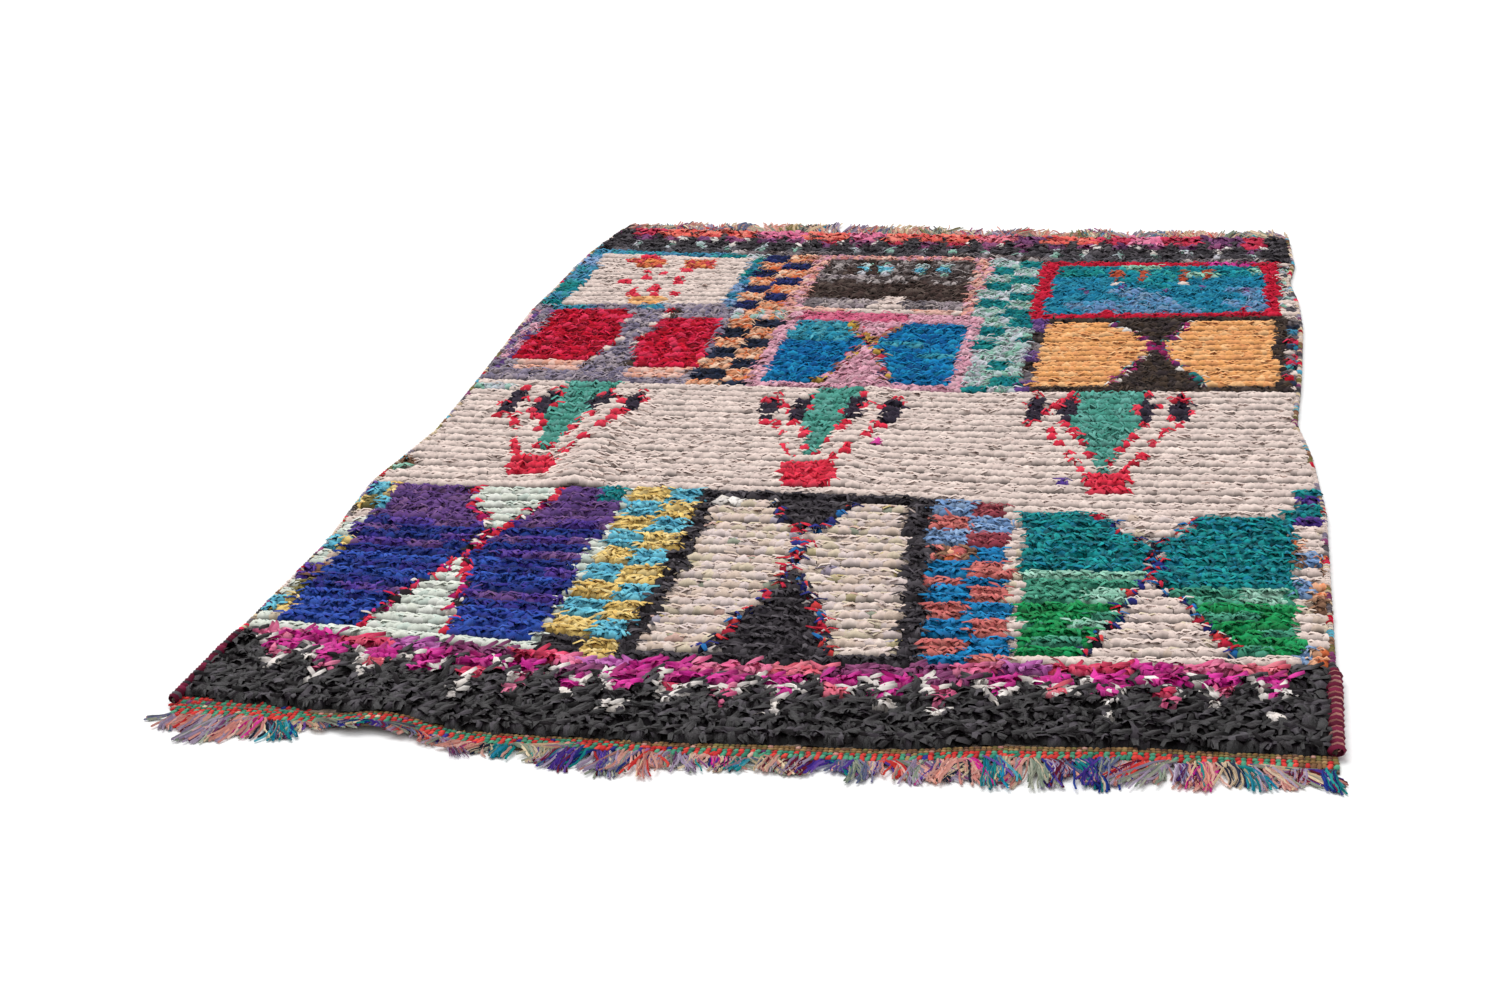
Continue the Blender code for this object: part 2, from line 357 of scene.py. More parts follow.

# %% [markdown]
# ## Dyes
#
# The rags are whatever the household had, so one area of the pattern holds several
# near tones of one colour. Each dye is named for the rag it stands for, with its
# tones listed and how much the stuff shines. The form says how it was torn:
# soft jersey rolls up into a plump rag, satin stays flat like a leaf, a knitted
# garment unravels into strands, and short thrums of yarn fill the small motifs.

# %% The rag bag
ROLL_JITTER = 0.04
DYE_JITTER = 0.10
JITTER_LIMIT = 2.4
Dye = namedtuple("Dye", "form gloss tones")
DYES = {
    "cream": Dye("roll", 0.10, ((232, 212, 203), (226, 206, 198), (237, 218, 209), (222, 203, 195))),
    "mint_white": Dye("roll", 0.12, ((222, 226, 214), (214, 220, 209), (230, 232, 224), (202, 214, 204))),
    "beige": Dye("roll", 0.14, ((224, 202, 190), (218, 196, 180), (230, 212, 202), (216, 196, 188),
        (224, 206, 202), (218, 202, 178))),
    "scraps": Dye("roll", 0.16, ((190, 176, 138), (206, 170, 158), (182, 172, 186), (206, 186, 130),
        (160, 164, 146))),
    "white": Dye("leaf", 0.20, ((222, 213, 206), (212, 204, 200), (228, 221, 216))),
    "black": Dye("leaf", 0.44, ((16, 9, 13), (24, 16, 21), (14, 8, 11), (34, 27, 33), (60, 53, 61),
        (22, 15, 20))),
    "soft_black": Dye("rag", 0.24, ((50, 44, 50), (42, 36, 42), (64, 58, 64), (84, 78, 84),
        (46, 40, 48))),
    "magenta": Dye("leaf", 0.36, ((188, 8, 128), (206, 22, 146), (170, 6, 110), (216, 44, 152))),
    "crimson_pink": Dye("leaf", 0.36, ((206, 40, 88), (220, 66, 104), (190, 30, 74))),
    "rose": Dye("leaf", 0.32, ((216, 104, 144), (224, 122, 156), (206, 82, 128))),
    "coral_pink": Dye("leaf", 0.32, ((222, 104, 128), (230, 124, 140), (214, 84, 104))),
    "orchid": Dye("leaf", 0.40, ((178, 84, 164), (166, 66, 150), (190, 104, 176))),
    "plum": Dye("leaf", 0.36, ((130, 48, 104), (116, 42, 90), (148, 62, 118))),
    "royal": Dye("rag", 0.24, ((18, 44, 130), (14, 38, 112), (24, 56, 142), (30, 36, 118),
        (46, 38, 134))),
    "bright_royal": Dye("rag", 0.26, ((34, 72, 168), (26, 62, 152), (44, 84, 180), (40, 60, 160))),
    "purple": Dye("rag", 0.22, ((76, 48, 146), (88, 58, 152), (66, 42, 136), (102, 70, 150))),
    "dusk_purple": Dye("strand", 0.20, ((98, 62, 132), (112, 76, 142), (86, 56, 118), (126, 88, 140))),
    "mustard": Dye("rag", 0.26, ((232, 198, 116), (238, 206, 128), (222, 184, 102), (230, 204, 140))),
    "turquoise": Dye("rag", 0.30, ((98, 186, 210), (114, 198, 216), (80, 170, 200))),
    "sky": Dye("rag", 0.26, ((128, 160, 202), (110, 146, 194), (142, 170, 206))),
    "bright_blue": Dye("rag", 0.24, ((4, 120, 178), (2, 106, 164), (16, 136, 194))),
    "salmon": Dye("rag", 0.24, ((206, 112, 106), (214, 124, 116), (196, 98, 96))),
    "maroon_pink": Dye("strand", 0.16, ((150, 64, 76), (172, 84, 92), (132, 52, 66))),
    "teal": Dye("rag", 0.24, ((0, 134, 138), (0, 116, 126), (8, 152, 156), (2, 124, 150), (0, 98, 110),
        (0, 142, 140))),
    "green": Dye("rag", 0.26, ((6, 144, 76), (4, 128, 66), (18, 158, 92))),
    "leaf_mint": Dye("rag", 0.26, ((146, 198, 176), (126, 184, 160), (164, 208, 190))),
    "sea_green": Dye("rag", 0.30, ((62, 150, 120), (78, 164, 136), (50, 138, 112))),
    "motif_green": Dye("thrum", 0.16, ((82, 158, 144), (68, 146, 130), (100, 168, 156))),
    "motif_red": Dye("thrum", 0.20, ((222, 42, 70), (212, 34, 60), (230, 60, 84))),
    "motif_black": Dye("thrum", 0.20, ((44, 34, 52), (52, 42, 58), (36, 30, 46))),
    "crimson": Dye("strand", 0.12, ((202, 14, 46), (214, 28, 66), (176, 8, 34), (158, 10, 36),
        (224, 52, 88))),
    "lavender": Dye("strand", 0.10, ((152, 140, 156), (140, 130, 152), (166, 154, 164), (126, 118, 142),
        (178, 164, 172))),
    "peach": Dye("roll", 0.10, ((230, 184, 170), (220, 172, 160), (236, 196, 182), (232, 168, 146))),
    "navy": Dye("strand", 0.14, ((32, 40, 62), (24, 32, 50), (40, 50, 74), (34, 38, 54))),
    "deep_navy": Dye("strand", 0.14, ((34, 44, 100), (26, 36, 78), (42, 54, 118), (30, 38, 66))),
    "blush": Dye("strand", 0.12, ((226, 152, 142), (232, 168, 154), (216, 136, 132), (238, 184, 166))),
    "ash": Dye("strand", 0.12, ((152, 140, 144), (176, 162, 164), (130, 118, 122), (196, 182, 180),
        (164, 148, 156))),
    "azure": Dye("strand", 0.12, ((30, 132, 170), (44, 144, 178), (20, 120, 158), (40, 136, 162))),
    "periwinkle": Dye("strand", 0.12, ((92, 146, 190), (112, 148, 196), (70, 144, 180), (124, 156, 186))),
    "orange_peach": Dye("strand", 0.12, ((234, 158, 116), (226, 142, 96), (238, 178, 142),
        (228, 170, 136), (240, 200, 172), (226, 116, 70))),
    "hot_pink": Dye("strand", 0.14, ((218, 106, 140), (224, 122, 150), (210, 92, 128))),
    "pale_pink": Dye("strand", 0.10, ((222, 164, 182), (214, 152, 172), (228, 178, 192))),
    "cobalt": Dye("strand", 0.14, ((2, 114, 176), (0, 98, 158), (14, 130, 188), (0, 86, 148),
        (22, 138, 184))),
    "sea_blue": Dye("strand", 0.14, ((40, 144, 172), (64, 156, 178), (26, 130, 164), (80, 164, 180))),
    "grey_mint": Dye("strand", 0.12, ((182, 200, 200), (196, 204, 212), (158, 194, 182), (206, 204, 212),
        (140, 190, 170))),
    "deep_teal": Dye("strand", 0.14, ((14, 130, 130), (6, 114, 122), (34, 146, 142), (10, 122, 136))),
    "apricot": Dye("roll", 0.10, ((243, 178, 118), (237, 168, 105), (248, 192, 136), (232, 161, 105))),
    "dark_brown": Dye("strand", 0.12, ((66, 54, 50), (52, 44, 42), (84, 72, 66), (58, 48, 50),
        (72, 58, 48))),
    "grey": Dye("strand", 0.12, ((124, 114, 118), (138, 128, 130), (108, 100, 108))),
    "frame_blue": Dye("strand", 0.16, ((64, 144, 178), (42, 126, 160), (90, 150, 190), (60, 158, 166))),
    "frame_red": Dye("strand", 0.14, ((206, 20, 54), (214, 34, 66), (190, 16, 48))),
    "lagoon": Dye("strand", 0.14, ((8, 134, 154), (20, 146, 160), (10, 120, 148), (50, 166, 166),
        (12, 118, 140))),
    "brick": Dye("strand", 0.16, ((186, 74, 48), (198, 86, 56))),
    "ember": Dye("strand", 0.16, ((232, 122, 76), (222, 98, 74), (236, 148, 84), (206, 66, 82))),
    "charcoal": Dye("strand", 0.20, ((84, 80, 86), (70, 66, 72), (98, 94, 102), (60, 58, 62))),
    "coral": Dye("leaf", 0.24, ((226, 92, 78), (230, 112, 94), (216, 72, 72), (232, 128, 112))),
    "ruby": Dye("leaf", 0.26, ((196, 32, 66), (208, 44, 84), (180, 26, 58))),
    "violet": Dye("leaf", 0.26, ((104, 46, 96), (118, 58, 108), (86, 38, 84), (132, 70, 120))),
    "brown": Dye("rag", 0.14, ((134, 98, 78), (116, 84, 68), (150, 112, 88))),
    "olive": Dye("rag", 0.14, ((134, 124, 74), (120, 110, 66))),
    "grey_black": Dye("strand", 0.14, ((88, 75, 74), (66, 56, 56), (130, 120, 120), (80, 68, 66),
        (178, 167, 166))),
    "brown_black": Dye("strand", 0.12, ((76, 59, 55), (58, 46, 42), (94, 80, 74), (66, 50, 46))),
    "mosaic": Dye("rag", 0.20, ((210, 38, 60), (30, 34, 76), (24, 102, 166), (206, 58, 60), (40, 44, 128),
        (214, 202, 198), (28, 24, 40), (198, 30, 62))),
    "trimming": Dye("strand", 0.20, ((206, 166, 70), (196, 44, 66), (188, 140, 66), (150, 96, 70),
        (214, 150, 166), (60, 44, 84))),
    "piping": Dye("strand", 0.20, ((180, 30, 116), (26, 120, 122), (222, 214, 208), (110, 40, 104),
        (150, 24, 90))),
    "edging": Dye("rag", 0.20, ((216, 30, 70), (190, 20, 110), (34, 28, 34), (226, 214, 206),
        (222, 48, 84), (40, 34, 40))),
}


def linear(tone):
    """A listed tone, 0 to 255, as the linear light that a shader mixes."""
    share = np.asarray(tone, float) / 255.0
    return np.where(share <= 0.04045, share / 12.92, ((share + 0.055) / 1.055) ** 2.4)


def dyed(names, rng):
    """A tone and a gloss for each name of a dye."""
    colour = np.array([linear(DYES[name].tones[rng.integers(len(DYES[name].tones))]) for name in names])
    gloss = np.array([DYES[name].gloss for name in names])
    spread = np.array([[ROLL_JITTER if DYES[name].form == "roll" else DYE_JITTER] for name in names])
    jitter = rng.normal(0.0, 1.0, (len(names), 1)).clip(-JITTER_LIMIT, JITTER_LIMIT)
    return colour * (1.0 + spread * jitter), gloss


print(len(DYES), "dyes in the rag bag")

# %% [markdown]
# ## Charting the pattern
#
# The weaver works row by row, so the pattern is charted the same way. Each band of
# the rug has its own short function: it takes a place across the rug and the row,
# counted from the near side of its band, and answers with a dye. The shapes are the
# old ones of these rugs: stepped triangles that meet in an hourglass, checked bars
# with blocks two rows high, teeth, and wedges. Helpers say how deep a place lies in a
# wedge, and pick one of a few near dyes in an order that looks like chance.

# %% Helpers for the chart
OUTSIDE = -9.0
KNOT_WIDTH = 0.011
RIM = 0.010


def wedge(x, row, tip, tip_row, left, right, base_row):
    """How far a place lies inside a wedge, in metres, and negative outside its sides."""
    share = (row - tip_row) / (base_row - tip_row)
    if share < 0.0 or share > 1.0:
        return OUTSIDE
    side_left = tip + (left - tip) * share
    side_right = tip + (right - tip) * share
    return min(x - side_left, side_right - x)


def bar(share, near, far):
    """A line of the pattern that leans: its x near, its x far, at a share of the way."""
    return near + (far - near) * share


def turn(names, *keys):
    """One of a few dyes, in an order that looks picked at random but never changes."""
    mixed = sum(round(key * 1000.0) * factor for key, factor in zip(keys, (7919, 104729, 1299709)))
    return names[(mixed // 13) % len(names)]


def knot_number(x):
    return round(x / KNOT_WIDTH)


print("the chart counts rows from the near side of each band")

# %% [markdown]
# ### The near border
#
# The near border is black satin with a row of pinks along its far side. From that
# row hang magenta teeth, each ending in a thin stalk, with flecks of white beside it.

# %% Chart the near border
TOP_ROW = (
    (-0.595, "rose"), (-0.535, "magenta"), (-0.470, "crimson_pink"), (-0.405, "orchid"), (-0.300, "plum"),
    (-0.250, "crimson_pink"), (-0.215, "rose"), (-0.150, "orchid"), (-0.085, "magenta"), (0.010, "rose"),
    (0.075, "coral_pink"), (0.145, "plum"), (0.235, "plum"), (0.290, "rose"), (0.345, "orchid"),
    (0.440, "crimson_pink"), (0.500, "magenta"), (0.570, "rose"), (0.640, "coral_pink"),
)
TOOTH_FIRST = -0.595
TOOTH_PITCH = 0.0634


def near_border(x, row):
    if x < -0.645 or x > 0.630:
        return "black"
    if row == 6:
        return next((dye for edge, dye in TOP_ROW if x < edge), "rose")
    number = round((x - TOOTH_FIRST) / TOOTH_PITCH)
    tooth = (x - TOOTH_FIRST) / TOOTH_PITCH - number
    if row == 5:
        if abs(tooth) < 0.34:
            return "plum" if number % 7 == 6 else "magenta"
        return "white" if tooth < 0.0 else "black"
    if row == 4:
        half = 0.20 if x < -0.30 else 0.13
        if abs(tooth) < half:
            return turn(("magenta", "rose", "crimson_pink", "magenta", "coral_pink"), number, 1)
        if abs(tooth - 0.37) < 0.06 and number == 13:
            return "deep_teal"
        beside = half < abs(tooth) < half + 0.13
        return "white" if beside and (x > -0.10 or (tooth < 0.0) == (number % 3 > 0)) else "black"
    if row == 3 and abs(tooth) < 0.09:
        return ("white", "rose", "white", "black")[number % 4]
    if row == 2 and number % 3 == 1 and abs(tooth) < 0.09:
        return "white"
    return "black"


print("the near border has", round(1.24 / TOOTH_PITCH), "teeth")

# %% [markdown]
# ### The near band
#
# Three hourglass panels stand side by side, with a checked bar between each pair:
# blue on the left, beige framed in black in the middle, and green on the right. Where
# two colours meet along an hourglass, single knots of red and blue mark the edge.

# %% Chart the near band
NEAR_ROWS = 20


def hourglass(x, row, upper, lower, waist):
    """Inside an hourglass of two wedges: the deeper of the two, or its thin waist."""
    deep = max(wedge(x, row, *upper), wedge(x, row, *lower))
    if deep == OUTSIDE:
        return RIM / 2.0 - abs(x - waist)
    return deep


def checks(x, middle, block, one, other):
    """The dye of a checked bar: two blocks side by side that change places."""
    return one if (x < middle) == (block % 2 == 0) else other


def near_left(x, row):
    deep = hourglass(
        x, row, (-0.445, 12.6, -0.530, -0.388, 19.5), (-0.460, 10.8, -0.526, -0.398, 0.0), -0.452)
    if deep > RIM * 0.5:
        return "mint_white"
    if deep > -RIM * 0.6:
        return turn(("edging", "motif_red", "edging"), knot_number(x), row)
    if row > 17 and -0.335 < x < -0.300:
        return "teal"
    if row >= 15:
        return "dusk_purple"
    if row <= 3:
        return "bright_royal"
    streak = round((x + 0.015 * row) / 0.06)
    if row >= 10 or row in (5, 8):
        return turn(("royal", "purple", "royal", "dusk_purple"), streak, row)
    return turn(("royal", "bright_royal"), streak, row)


def near_middle(x, row):
    if row >= 19 or row < 1:
        return "soft_black"
    if row == 18 and x < -0.118:
        return "white"
    deep = hourglass(x, row, (-0.020, 14.0, -0.105, 0.052, 19.5), (-0.008, 9.8, -0.078, 0.090, 0.0), -0.012)
    if deep > RIM * 0.5:
        return "soft_black"
    if deep > -RIM * 0.7:
        return "mosaic"
    if abs(x - 0.038) < 0.007 and row == 10:
        return "lavender"
    return turn(("beige",) * 17 + ("scraps",), knot_number(x), row)


def near_right(x, row):
    if row >= 19:
        return "cream"
    deep = hourglass(x, row, (0.455, 13.8, 0.362, 0.525, 19.0), (0.455, 10.4, 0.385, 0.565, 0.5), 0.456)
    if row < 1:
        return "cream"
    if deep > RIM * 0.5:
        return turn(("cream", "cream", "beige", "cream"), knot_number(x), row)
    if deep > -RIM * 0.6:
        return "mosaic"
    if row >= 11:
        return "teal"
    if row >= 9:
        return turn(("leaf_mint", "sea_green"), round(x / 0.06), row) if x < 0.45 else "teal"
    if row >= 7:
        return turn(("leaf_mint", "sea_green", "sea_green"), round(x / 0.05), row)
    if row == 4 and 0.36 < x < 0.41:
        return "leaf_mint"
    return turn(("green", "green", "green", "sea_green"), round(x / 0.07), row)


LEFT_BITS = ("turquoise", "brown", "mint_white", "olive", "purple", "cream", "mustard", "mint_white", "beige")
RIGHT_BITS = ("cream", "brown", "cream", "orange_peach", "beige", "cream", "sky", "beige")


def near_band(x, row):
    share = (row + 0.5) / NEAR_ROWS
    if x < bar(share, -0.628, -0.637):
        return "mint_white" if row < 1 else turn(LEFT_BITS, row // 2, knot_number(x) // 2)
    if x < bar(share, -0.292, -0.300):
        return "mint_white" if row < 1 else near_left(x, row)
    if x < bar(share, -0.276, -0.288):
        return "mint_white"
    if x < bar(share, -0.182, -0.186):
        middle = bar(share, -0.226, -0.236)
        block = (NEAR_ROWS - 1 - row) // 2
        if block == 9:
            return "soft_black" if x < middle else "mustard"
        return checks(x, middle, block, "mustard", "turquoise")
    if x < bar(share, -0.162, -0.160):
        return "soft_black"
    if x < bar(share, 0.163, 0.110):
        return near_middle(x, row)
    if x < bar(share, 0.192, 0.142):
        return "soft_black"
    if x < bar(share, 0.294, 0.249):
        middle = bar(share, 0.245, 0.197)
        block = int((NEAR_ROWS - 1 - row) / 1.82)
        if block < 3:
            return checks(x, middle, block, "sky", ("maroon_pink", "salmon")[block % 2])
        if block == 3 and x < middle:
            return turn(("brown", "orange_peach", "salmon"), knot_number(x), row)
        if block == 3:
            return "bright_blue"
        return checks(x, middle, block, "bright_blue", "salmon")
    if x < bar(share, 0.308, 0.272):
        return turn(("cream", "cream", "beige"), knot_number(x), row)
    if x < bar(share, 0.642, 0.634):
        return near_right(x, row)
    if row >= 18:
        return "teal" if row == 19 else "purple"
    return turn(RIGHT_BITS, row // 2, knot_number(x) // 2)


print("the near band is charted over", NEAR_ROWS, "rows")

# %% [markdown]
# ### The cream band
#
# On a wide cream ground stand three wedges of green, point down. Each has red
# stepped sides, two black diamonds on either hand, red lines that run in like the
# strings of a kite, and a red block at the foot.

# %% Chart the cream band
CREAM_ROWS = 18
Kite = namedtuple(
    "Kite", "tip tip_row left right diamonds drop outer_top outer_foot block_left block_right block_rows")
KITES = (
    Kite(-0.468, 4.8, -0.522, -0.432, (-0.578, -0.524, -0.430, -0.384), 1, (-0.572, -0.380), (-0.506, -0.434),
         -0.509, -0.434, (2, 3, 4)),
    Kite(-0.062, 4.8, -0.105, -0.026, (-0.160, -0.112, -0.026, 0.030), 1, (-0.156, 0.030), (-0.094, -0.022),
         -0.095, -0.017, (1, 2, 3, 4)),
    Kite(0.372, 4.6, 0.306, 0.420, (0.255, 0.303, 0.427, 0.480), 0, (0.262, 0.476), (0.342, 0.404),
         0.345, 0.410, (2, 3, 4)),
)
SHOULDER_ROW = 13.0
DIAMOND_HALF = {16: 0.008, 15: 0.014, 14: 0.014, 13: 0.008}


def kite(x, row, shape):
    """The dye of one kite at a place, or nothing where the cream ground shows."""
    half = DIAMOND_HALF.get(row + shape.drop, 0.0)
    for middle in shape.diamonds:
        away = abs(x - middle)
        if away < half:
            return "motif_black"
        if away < half + 0.008 and half > 0.0 and (knot_number(x) + row) % 2:
            return "motif_red"
        if away < 0.006 and row + shape.drop in (12, 17):
            return "motif_red"
    inside = min(x - shape.left, shape.right - x) if row >= SHOULDER_ROW else wedge(
        x, row, shape.tip, shape.tip_row, shape.left, shape.right, SHOULDER_ROW)
    if inside > 0.0:
        return "motif_green"
    if shape.tip_row + 0.5 < row < SHOULDER_ROW and inside > -0.0085 and (row + int(x > shape.tip)) % 4:
        return "motif_red"
    share = (row - 5.0) / 8.0
    if 0.0 <= share <= 0.95 and row % 4:
        for foot, top in zip(shape.outer_foot, shape.outer_top):
            if abs(x - bar(share, foot, top)) < 0.0050:
                return "motif_red"
    slant = x - 0.004 * (shape.block_rows[-1] - row)
    if row in shape.block_rows and shape.block_left < slant < shape.block_right:
        return "motif_red"
    return None


def cream_band(x, row):
    for shape in KITES:
        found = kite(x, row, shape)
        if found:
            return found
    if row == 3 and abs(x - 0.323) < 0.007:
        return "purple"
    if row == 8 and abs(x - 0.035) < 0.007:
        return "magenta"
    if x < -0.650 and row in (2, 3):
        return turn(("leaf_mint", "brown", "motif_green"), row, knot_number(x))
    if x > 0.648 and row < 3:
        return ("teal", "purple", "teal")[row]
    if x < -0.600 and row == 16:
        return "grey_mint"
    return "cream"


print("the cream band has", len(KITES), "kites")

# %% [markdown]
# ### The middle band
#
# Above the cream come three panels again, each with two lobes of one colour that
# nearly touch: crimson on lavender, cobalt framed in pink, apricot framed in brown.

# %% Chart the middle band
MIDDLE_ROWS = 15


def middle_left(x, row):
    waist_left = -0.495 - 0.0035 * abs(row - 8)
    waist_right = -0.455 + 0.0040 * abs(row - 8)
    if -0.645 < x < waist_left and 4 <= row <= 14:
        return "crimson"
    if waist_right < x < -0.328 and 3 <= row <= 12:
        return "crimson"
    if -0.630 < x < -0.522 and 2 <= row < 4:
        return "peach"
    if -0.428 < x < -0.335 and 1 <= row < 3:
        return "peach"
    if min(abs(x - waist_left), abs(x - waist_right)) < 0.009 and row > 2:
        return turn(("dark_brown", "lavender", "cream", "crimson"), knot_number(x), row)
    if x < -0.648:
        edge = ("lavender", "dusk_purple", "lavender", "pale_pink", "lavender")
        return turn(edge, knot_number(x), row // 2)
    return "lavender"


def middle_centre(x, row):
    if x < -0.202 or x > 0.108 or row < 1:
        return "pale_pink"
    if row >= 13:
        return "hot_pink" if x < -0.004 else "pale_pink"
    deep = hourglass(x, row, (-0.055, 8.6, -0.112, 0.002, 13.5), (-0.055, 8.4, -0.107, 0.006, 0.0), -0.055)
    if deep > RIM * 0.5:
        return "pale_pink"
    if deep > -RIM * 0.95:
        return "trimming"
    if row >= 9 and x < -0.06:
        return turn(("sea_blue", "cobalt", "sea_blue"), round(x / 0.06), row)
    return turn(("cobalt",) * 7 + ("sea_blue",), round(x / 0.08), row)


def middle_right(x, row):
    if x < 0.238:
        return turn(("grey", "dark_brown", "dusk_purple"), row // 2, 1)
    if x > 0.630 or row < 1 or row >= 14:
        return "dark_brown"
    deep = hourglass(x, row, (0.435, 8.2, 0.348, 0.492, 14.0), (0.432, 7.6, 0.352, 0.526, 0.0), 0.434)
    if deep > RIM * 0.4:
        return "dark_brown"
    if deep > -RIM * 0.8:
        return "piping"
    return "apricot"


def middle_band(x, row):
    block = (MIDDLE_ROWS - 1 - row) // 2
    if x < -0.320:
        return middle_left(x, row)
    if x < -0.225:
        if block == 0:
            return turn(("orange_peach", "grey_mint", "peach"), knot_number(x), row)
        return checks(x, -0.272, block, "navy", "orange_peach")
    if x < 0.122:
        return middle_centre(x, row)
    if x < 0.212:
        if 2 <= block <= 5:
            return turn(("grey_mint", "grey_mint", "grey_mint", "deep_teal"), knot_number(x) // 3, row // 2)
        return checks(x, 0.166, block, "grey_mint", "deep_teal")
    if x < 0.648:
        return middle_right(x, row)
    return turn(("grey", "navy", "crimson", "cream", "frame_blue", "grey"), row, knot_number(x) // 2)


print("the middle band is charted over", MIDDLE_ROWS, "rows")

# %% [markdown]
# ### The far band
#
# The last panels are a cream field framed in turquoise, a dark field framed in
# salmon with four pale blue spots, and a blue field framed in red with four brick
# darts. Beyond them the far border answers the near one: black teeth and reds.

# %% Chart the far band
FAR_ROWS = 14
FAR_SPOTS = (
    (3, -0.532), (3, -0.495), (3, -0.452), (4, -0.538), (4, -0.500), (5, -0.505), (6, -0.565), (6, -0.470),
    (7, -0.535), (7, -0.472), (8, -0.540), (8, -0.505), (9, -0.468),
)


def far_left(x, row):
    if row >= 13:
        return turn(("frame_blue", "deep_teal", "frame_blue", "grey_mint"), round(x / 0.05), 5)
    if row < 1:
        return turn(("lavender", "frame_blue", "lavender"), round(x / 0.04), 6)
    if x < -0.650 or x > -0.358:
        return turn(("frame_blue", "frame_blue", "deep_teal", "sky"), row // 2, 7 if x < -0.5 else 8)
    if row in (10, 11) and min(abs(x + 0.552), abs(x + 0.452)) < 0.026 + 0.008 * (row - 10):
        return "ember"
    if (row == 12 and abs(x + 0.556) < 0.016) or (row == 11 and abs(x + 0.592) < 0.010):
        return "motif_red"
    if 1 <= row <= 2 and -0.532 < x < -0.462:
        return "apricot"
    for spot_row, spot in FAR_SPOTS:
        if row == spot_row and abs(x - spot) < 0.009:
            return "motif_red"
    return "cream"


def far_centre(x, row):
    if x < -0.212 or x > 0.080 or row >= 13:
        return turn(("pale_pink", "blush", "blush", "peach"), knot_number(x), row)
    if row <= 3 and abs(x + 0.050) < 0.014 + 0.010 * (3 - row):
        return "cream"
    if 9 <= row <= 11:
        for middle in (-0.128, -0.092, -0.022, 0.022):
            if abs(x - middle) < (0.008 if row == 10 else 0.006):
                return "turquoise" if row == 10 else "grey_mint"
    if row < 1:
        return turn(("peach", "cream", "peach"), round(x / 0.05), row)
    if row <= 2:
        return turn(("ash", "ash", "grey"), round(x / 0.05), row)
    if row == 8:
        return turn(("ash", "grey_black"), round(x / 0.03), row)
    return "brown_black" if 3 <= row <= 6 or turn((0, 1, 0), knot_number(x) // 3, row) else "grey_black"


def far_right(x, row):
    if x < 0.230 or x > 0.616 or row < 1:
        return "frame_red"
    if row >= 13:
        return "magenta" if 0.510 < x < 0.590 else "frame_red"
    if row == 1 and min(abs(x - 0.340), abs(x - 0.580)) < 0.008:
        return "frame_red"
    if 9 <= row <= 11:
        for middle in (0.343, 0.390, 0.468, 0.510):
            if abs(x - middle) < 0.007:
                return "brick"
    if row == 8 and min(abs(x - 0.343), abs(x - 0.468)) < 0.006:
        return "cream"
    streak = round((x + 0.02 * row) / 0.07)
    if row >= 10:
        if x < 0.31:
            return "deep_teal"
        return turn(("lagoon", "lagoon", "leaf_mint", "lagoon", "deep_teal"), streak, row)
    if row in (6, 7) and turn((0, 0, 0, 0, 0, 0, 0, 1), knot_number(x), row):
        return "dusk_purple"
    if row >= 7:
        return turn(("lagoon", "azure", "azure"), streak, row)
    return turn(("azure", "azure" if row > 3 else "periwinkle", "periwinkle"), streak, row)


def far_band(x, row):
    block = (FAR_ROWS - 1 - row) // 2
    if x < -0.330:
        return far_left(x, row)
    if x < -0.238:
        return checks(x, -0.288, block, "deep_navy", "orange_peach")
    if x < 0.106:
        return far_centre(x, row)
    if x < 0.202:
        return checks(x, 0.154, block, "grey_mint", "deep_teal")
    if x < 0.643:
        return far_right(x, row)
    return turn(("cream", "charcoal", "beige", "grey_mint", "cream"), row, knot_number(x) // 2)


FAR_TOP = (
    (-0.570, "ruby"), (-0.380, "coral"), (-0.290, "rose"), (-0.200, "coral"), (-0.120, "rose"),
    (-0.030, "coral"), (0.060, "coral"), (0.140, "coral_pink"), (0.190, "violet"), (0.290, "coral"),
    (0.360, "ruby"), (0.420, "rose"), (0.500, "ruby"), (0.580, "violet"), (0.700, "ruby"),
)


def far_border(x, row):
    """Charcoal at the band, then teeth between black, then rows of reds."""
    if x < -0.637 or x > 0.625:
        return "soft_black"
    number = round((x - TOOTH_FIRST) / TOOTH_PITCH + 0.2)
    tooth = (x - TOOTH_FIRST) / TOOTH_PITCH + 0.2 - number
    red = next(dye for edge, dye in FAR_TOP if x < edge)
    if row >= 5:
        return red
    if row == 4:
        return red if abs(tooth) < 0.40 else "soft_black"
    if row == 3:
        if abs(tooth) < 0.26:
            return turn(("plum", "ruby", "violet", "plum"), number, row)
        return "white" if abs(tooth) < 0.36 and tooth > 0.0 else "soft_black"
    if row == 2:
        if abs(tooth) < 0.10:
            return turn(("violet", "grey_mint", "plum", "white"), number, row)
        return "soft_black"
    if row == 1:
        return "grey_mint" if abs(tooth) < 0.08 else "soft_black" if abs(tooth) > 0.3 else "charcoal"
    return turn(("charcoal", "grey_black", "charcoal", "grey"), knot_number(x) // 3, row)


print("the far band is charted over", FAR_ROWS, "rows")
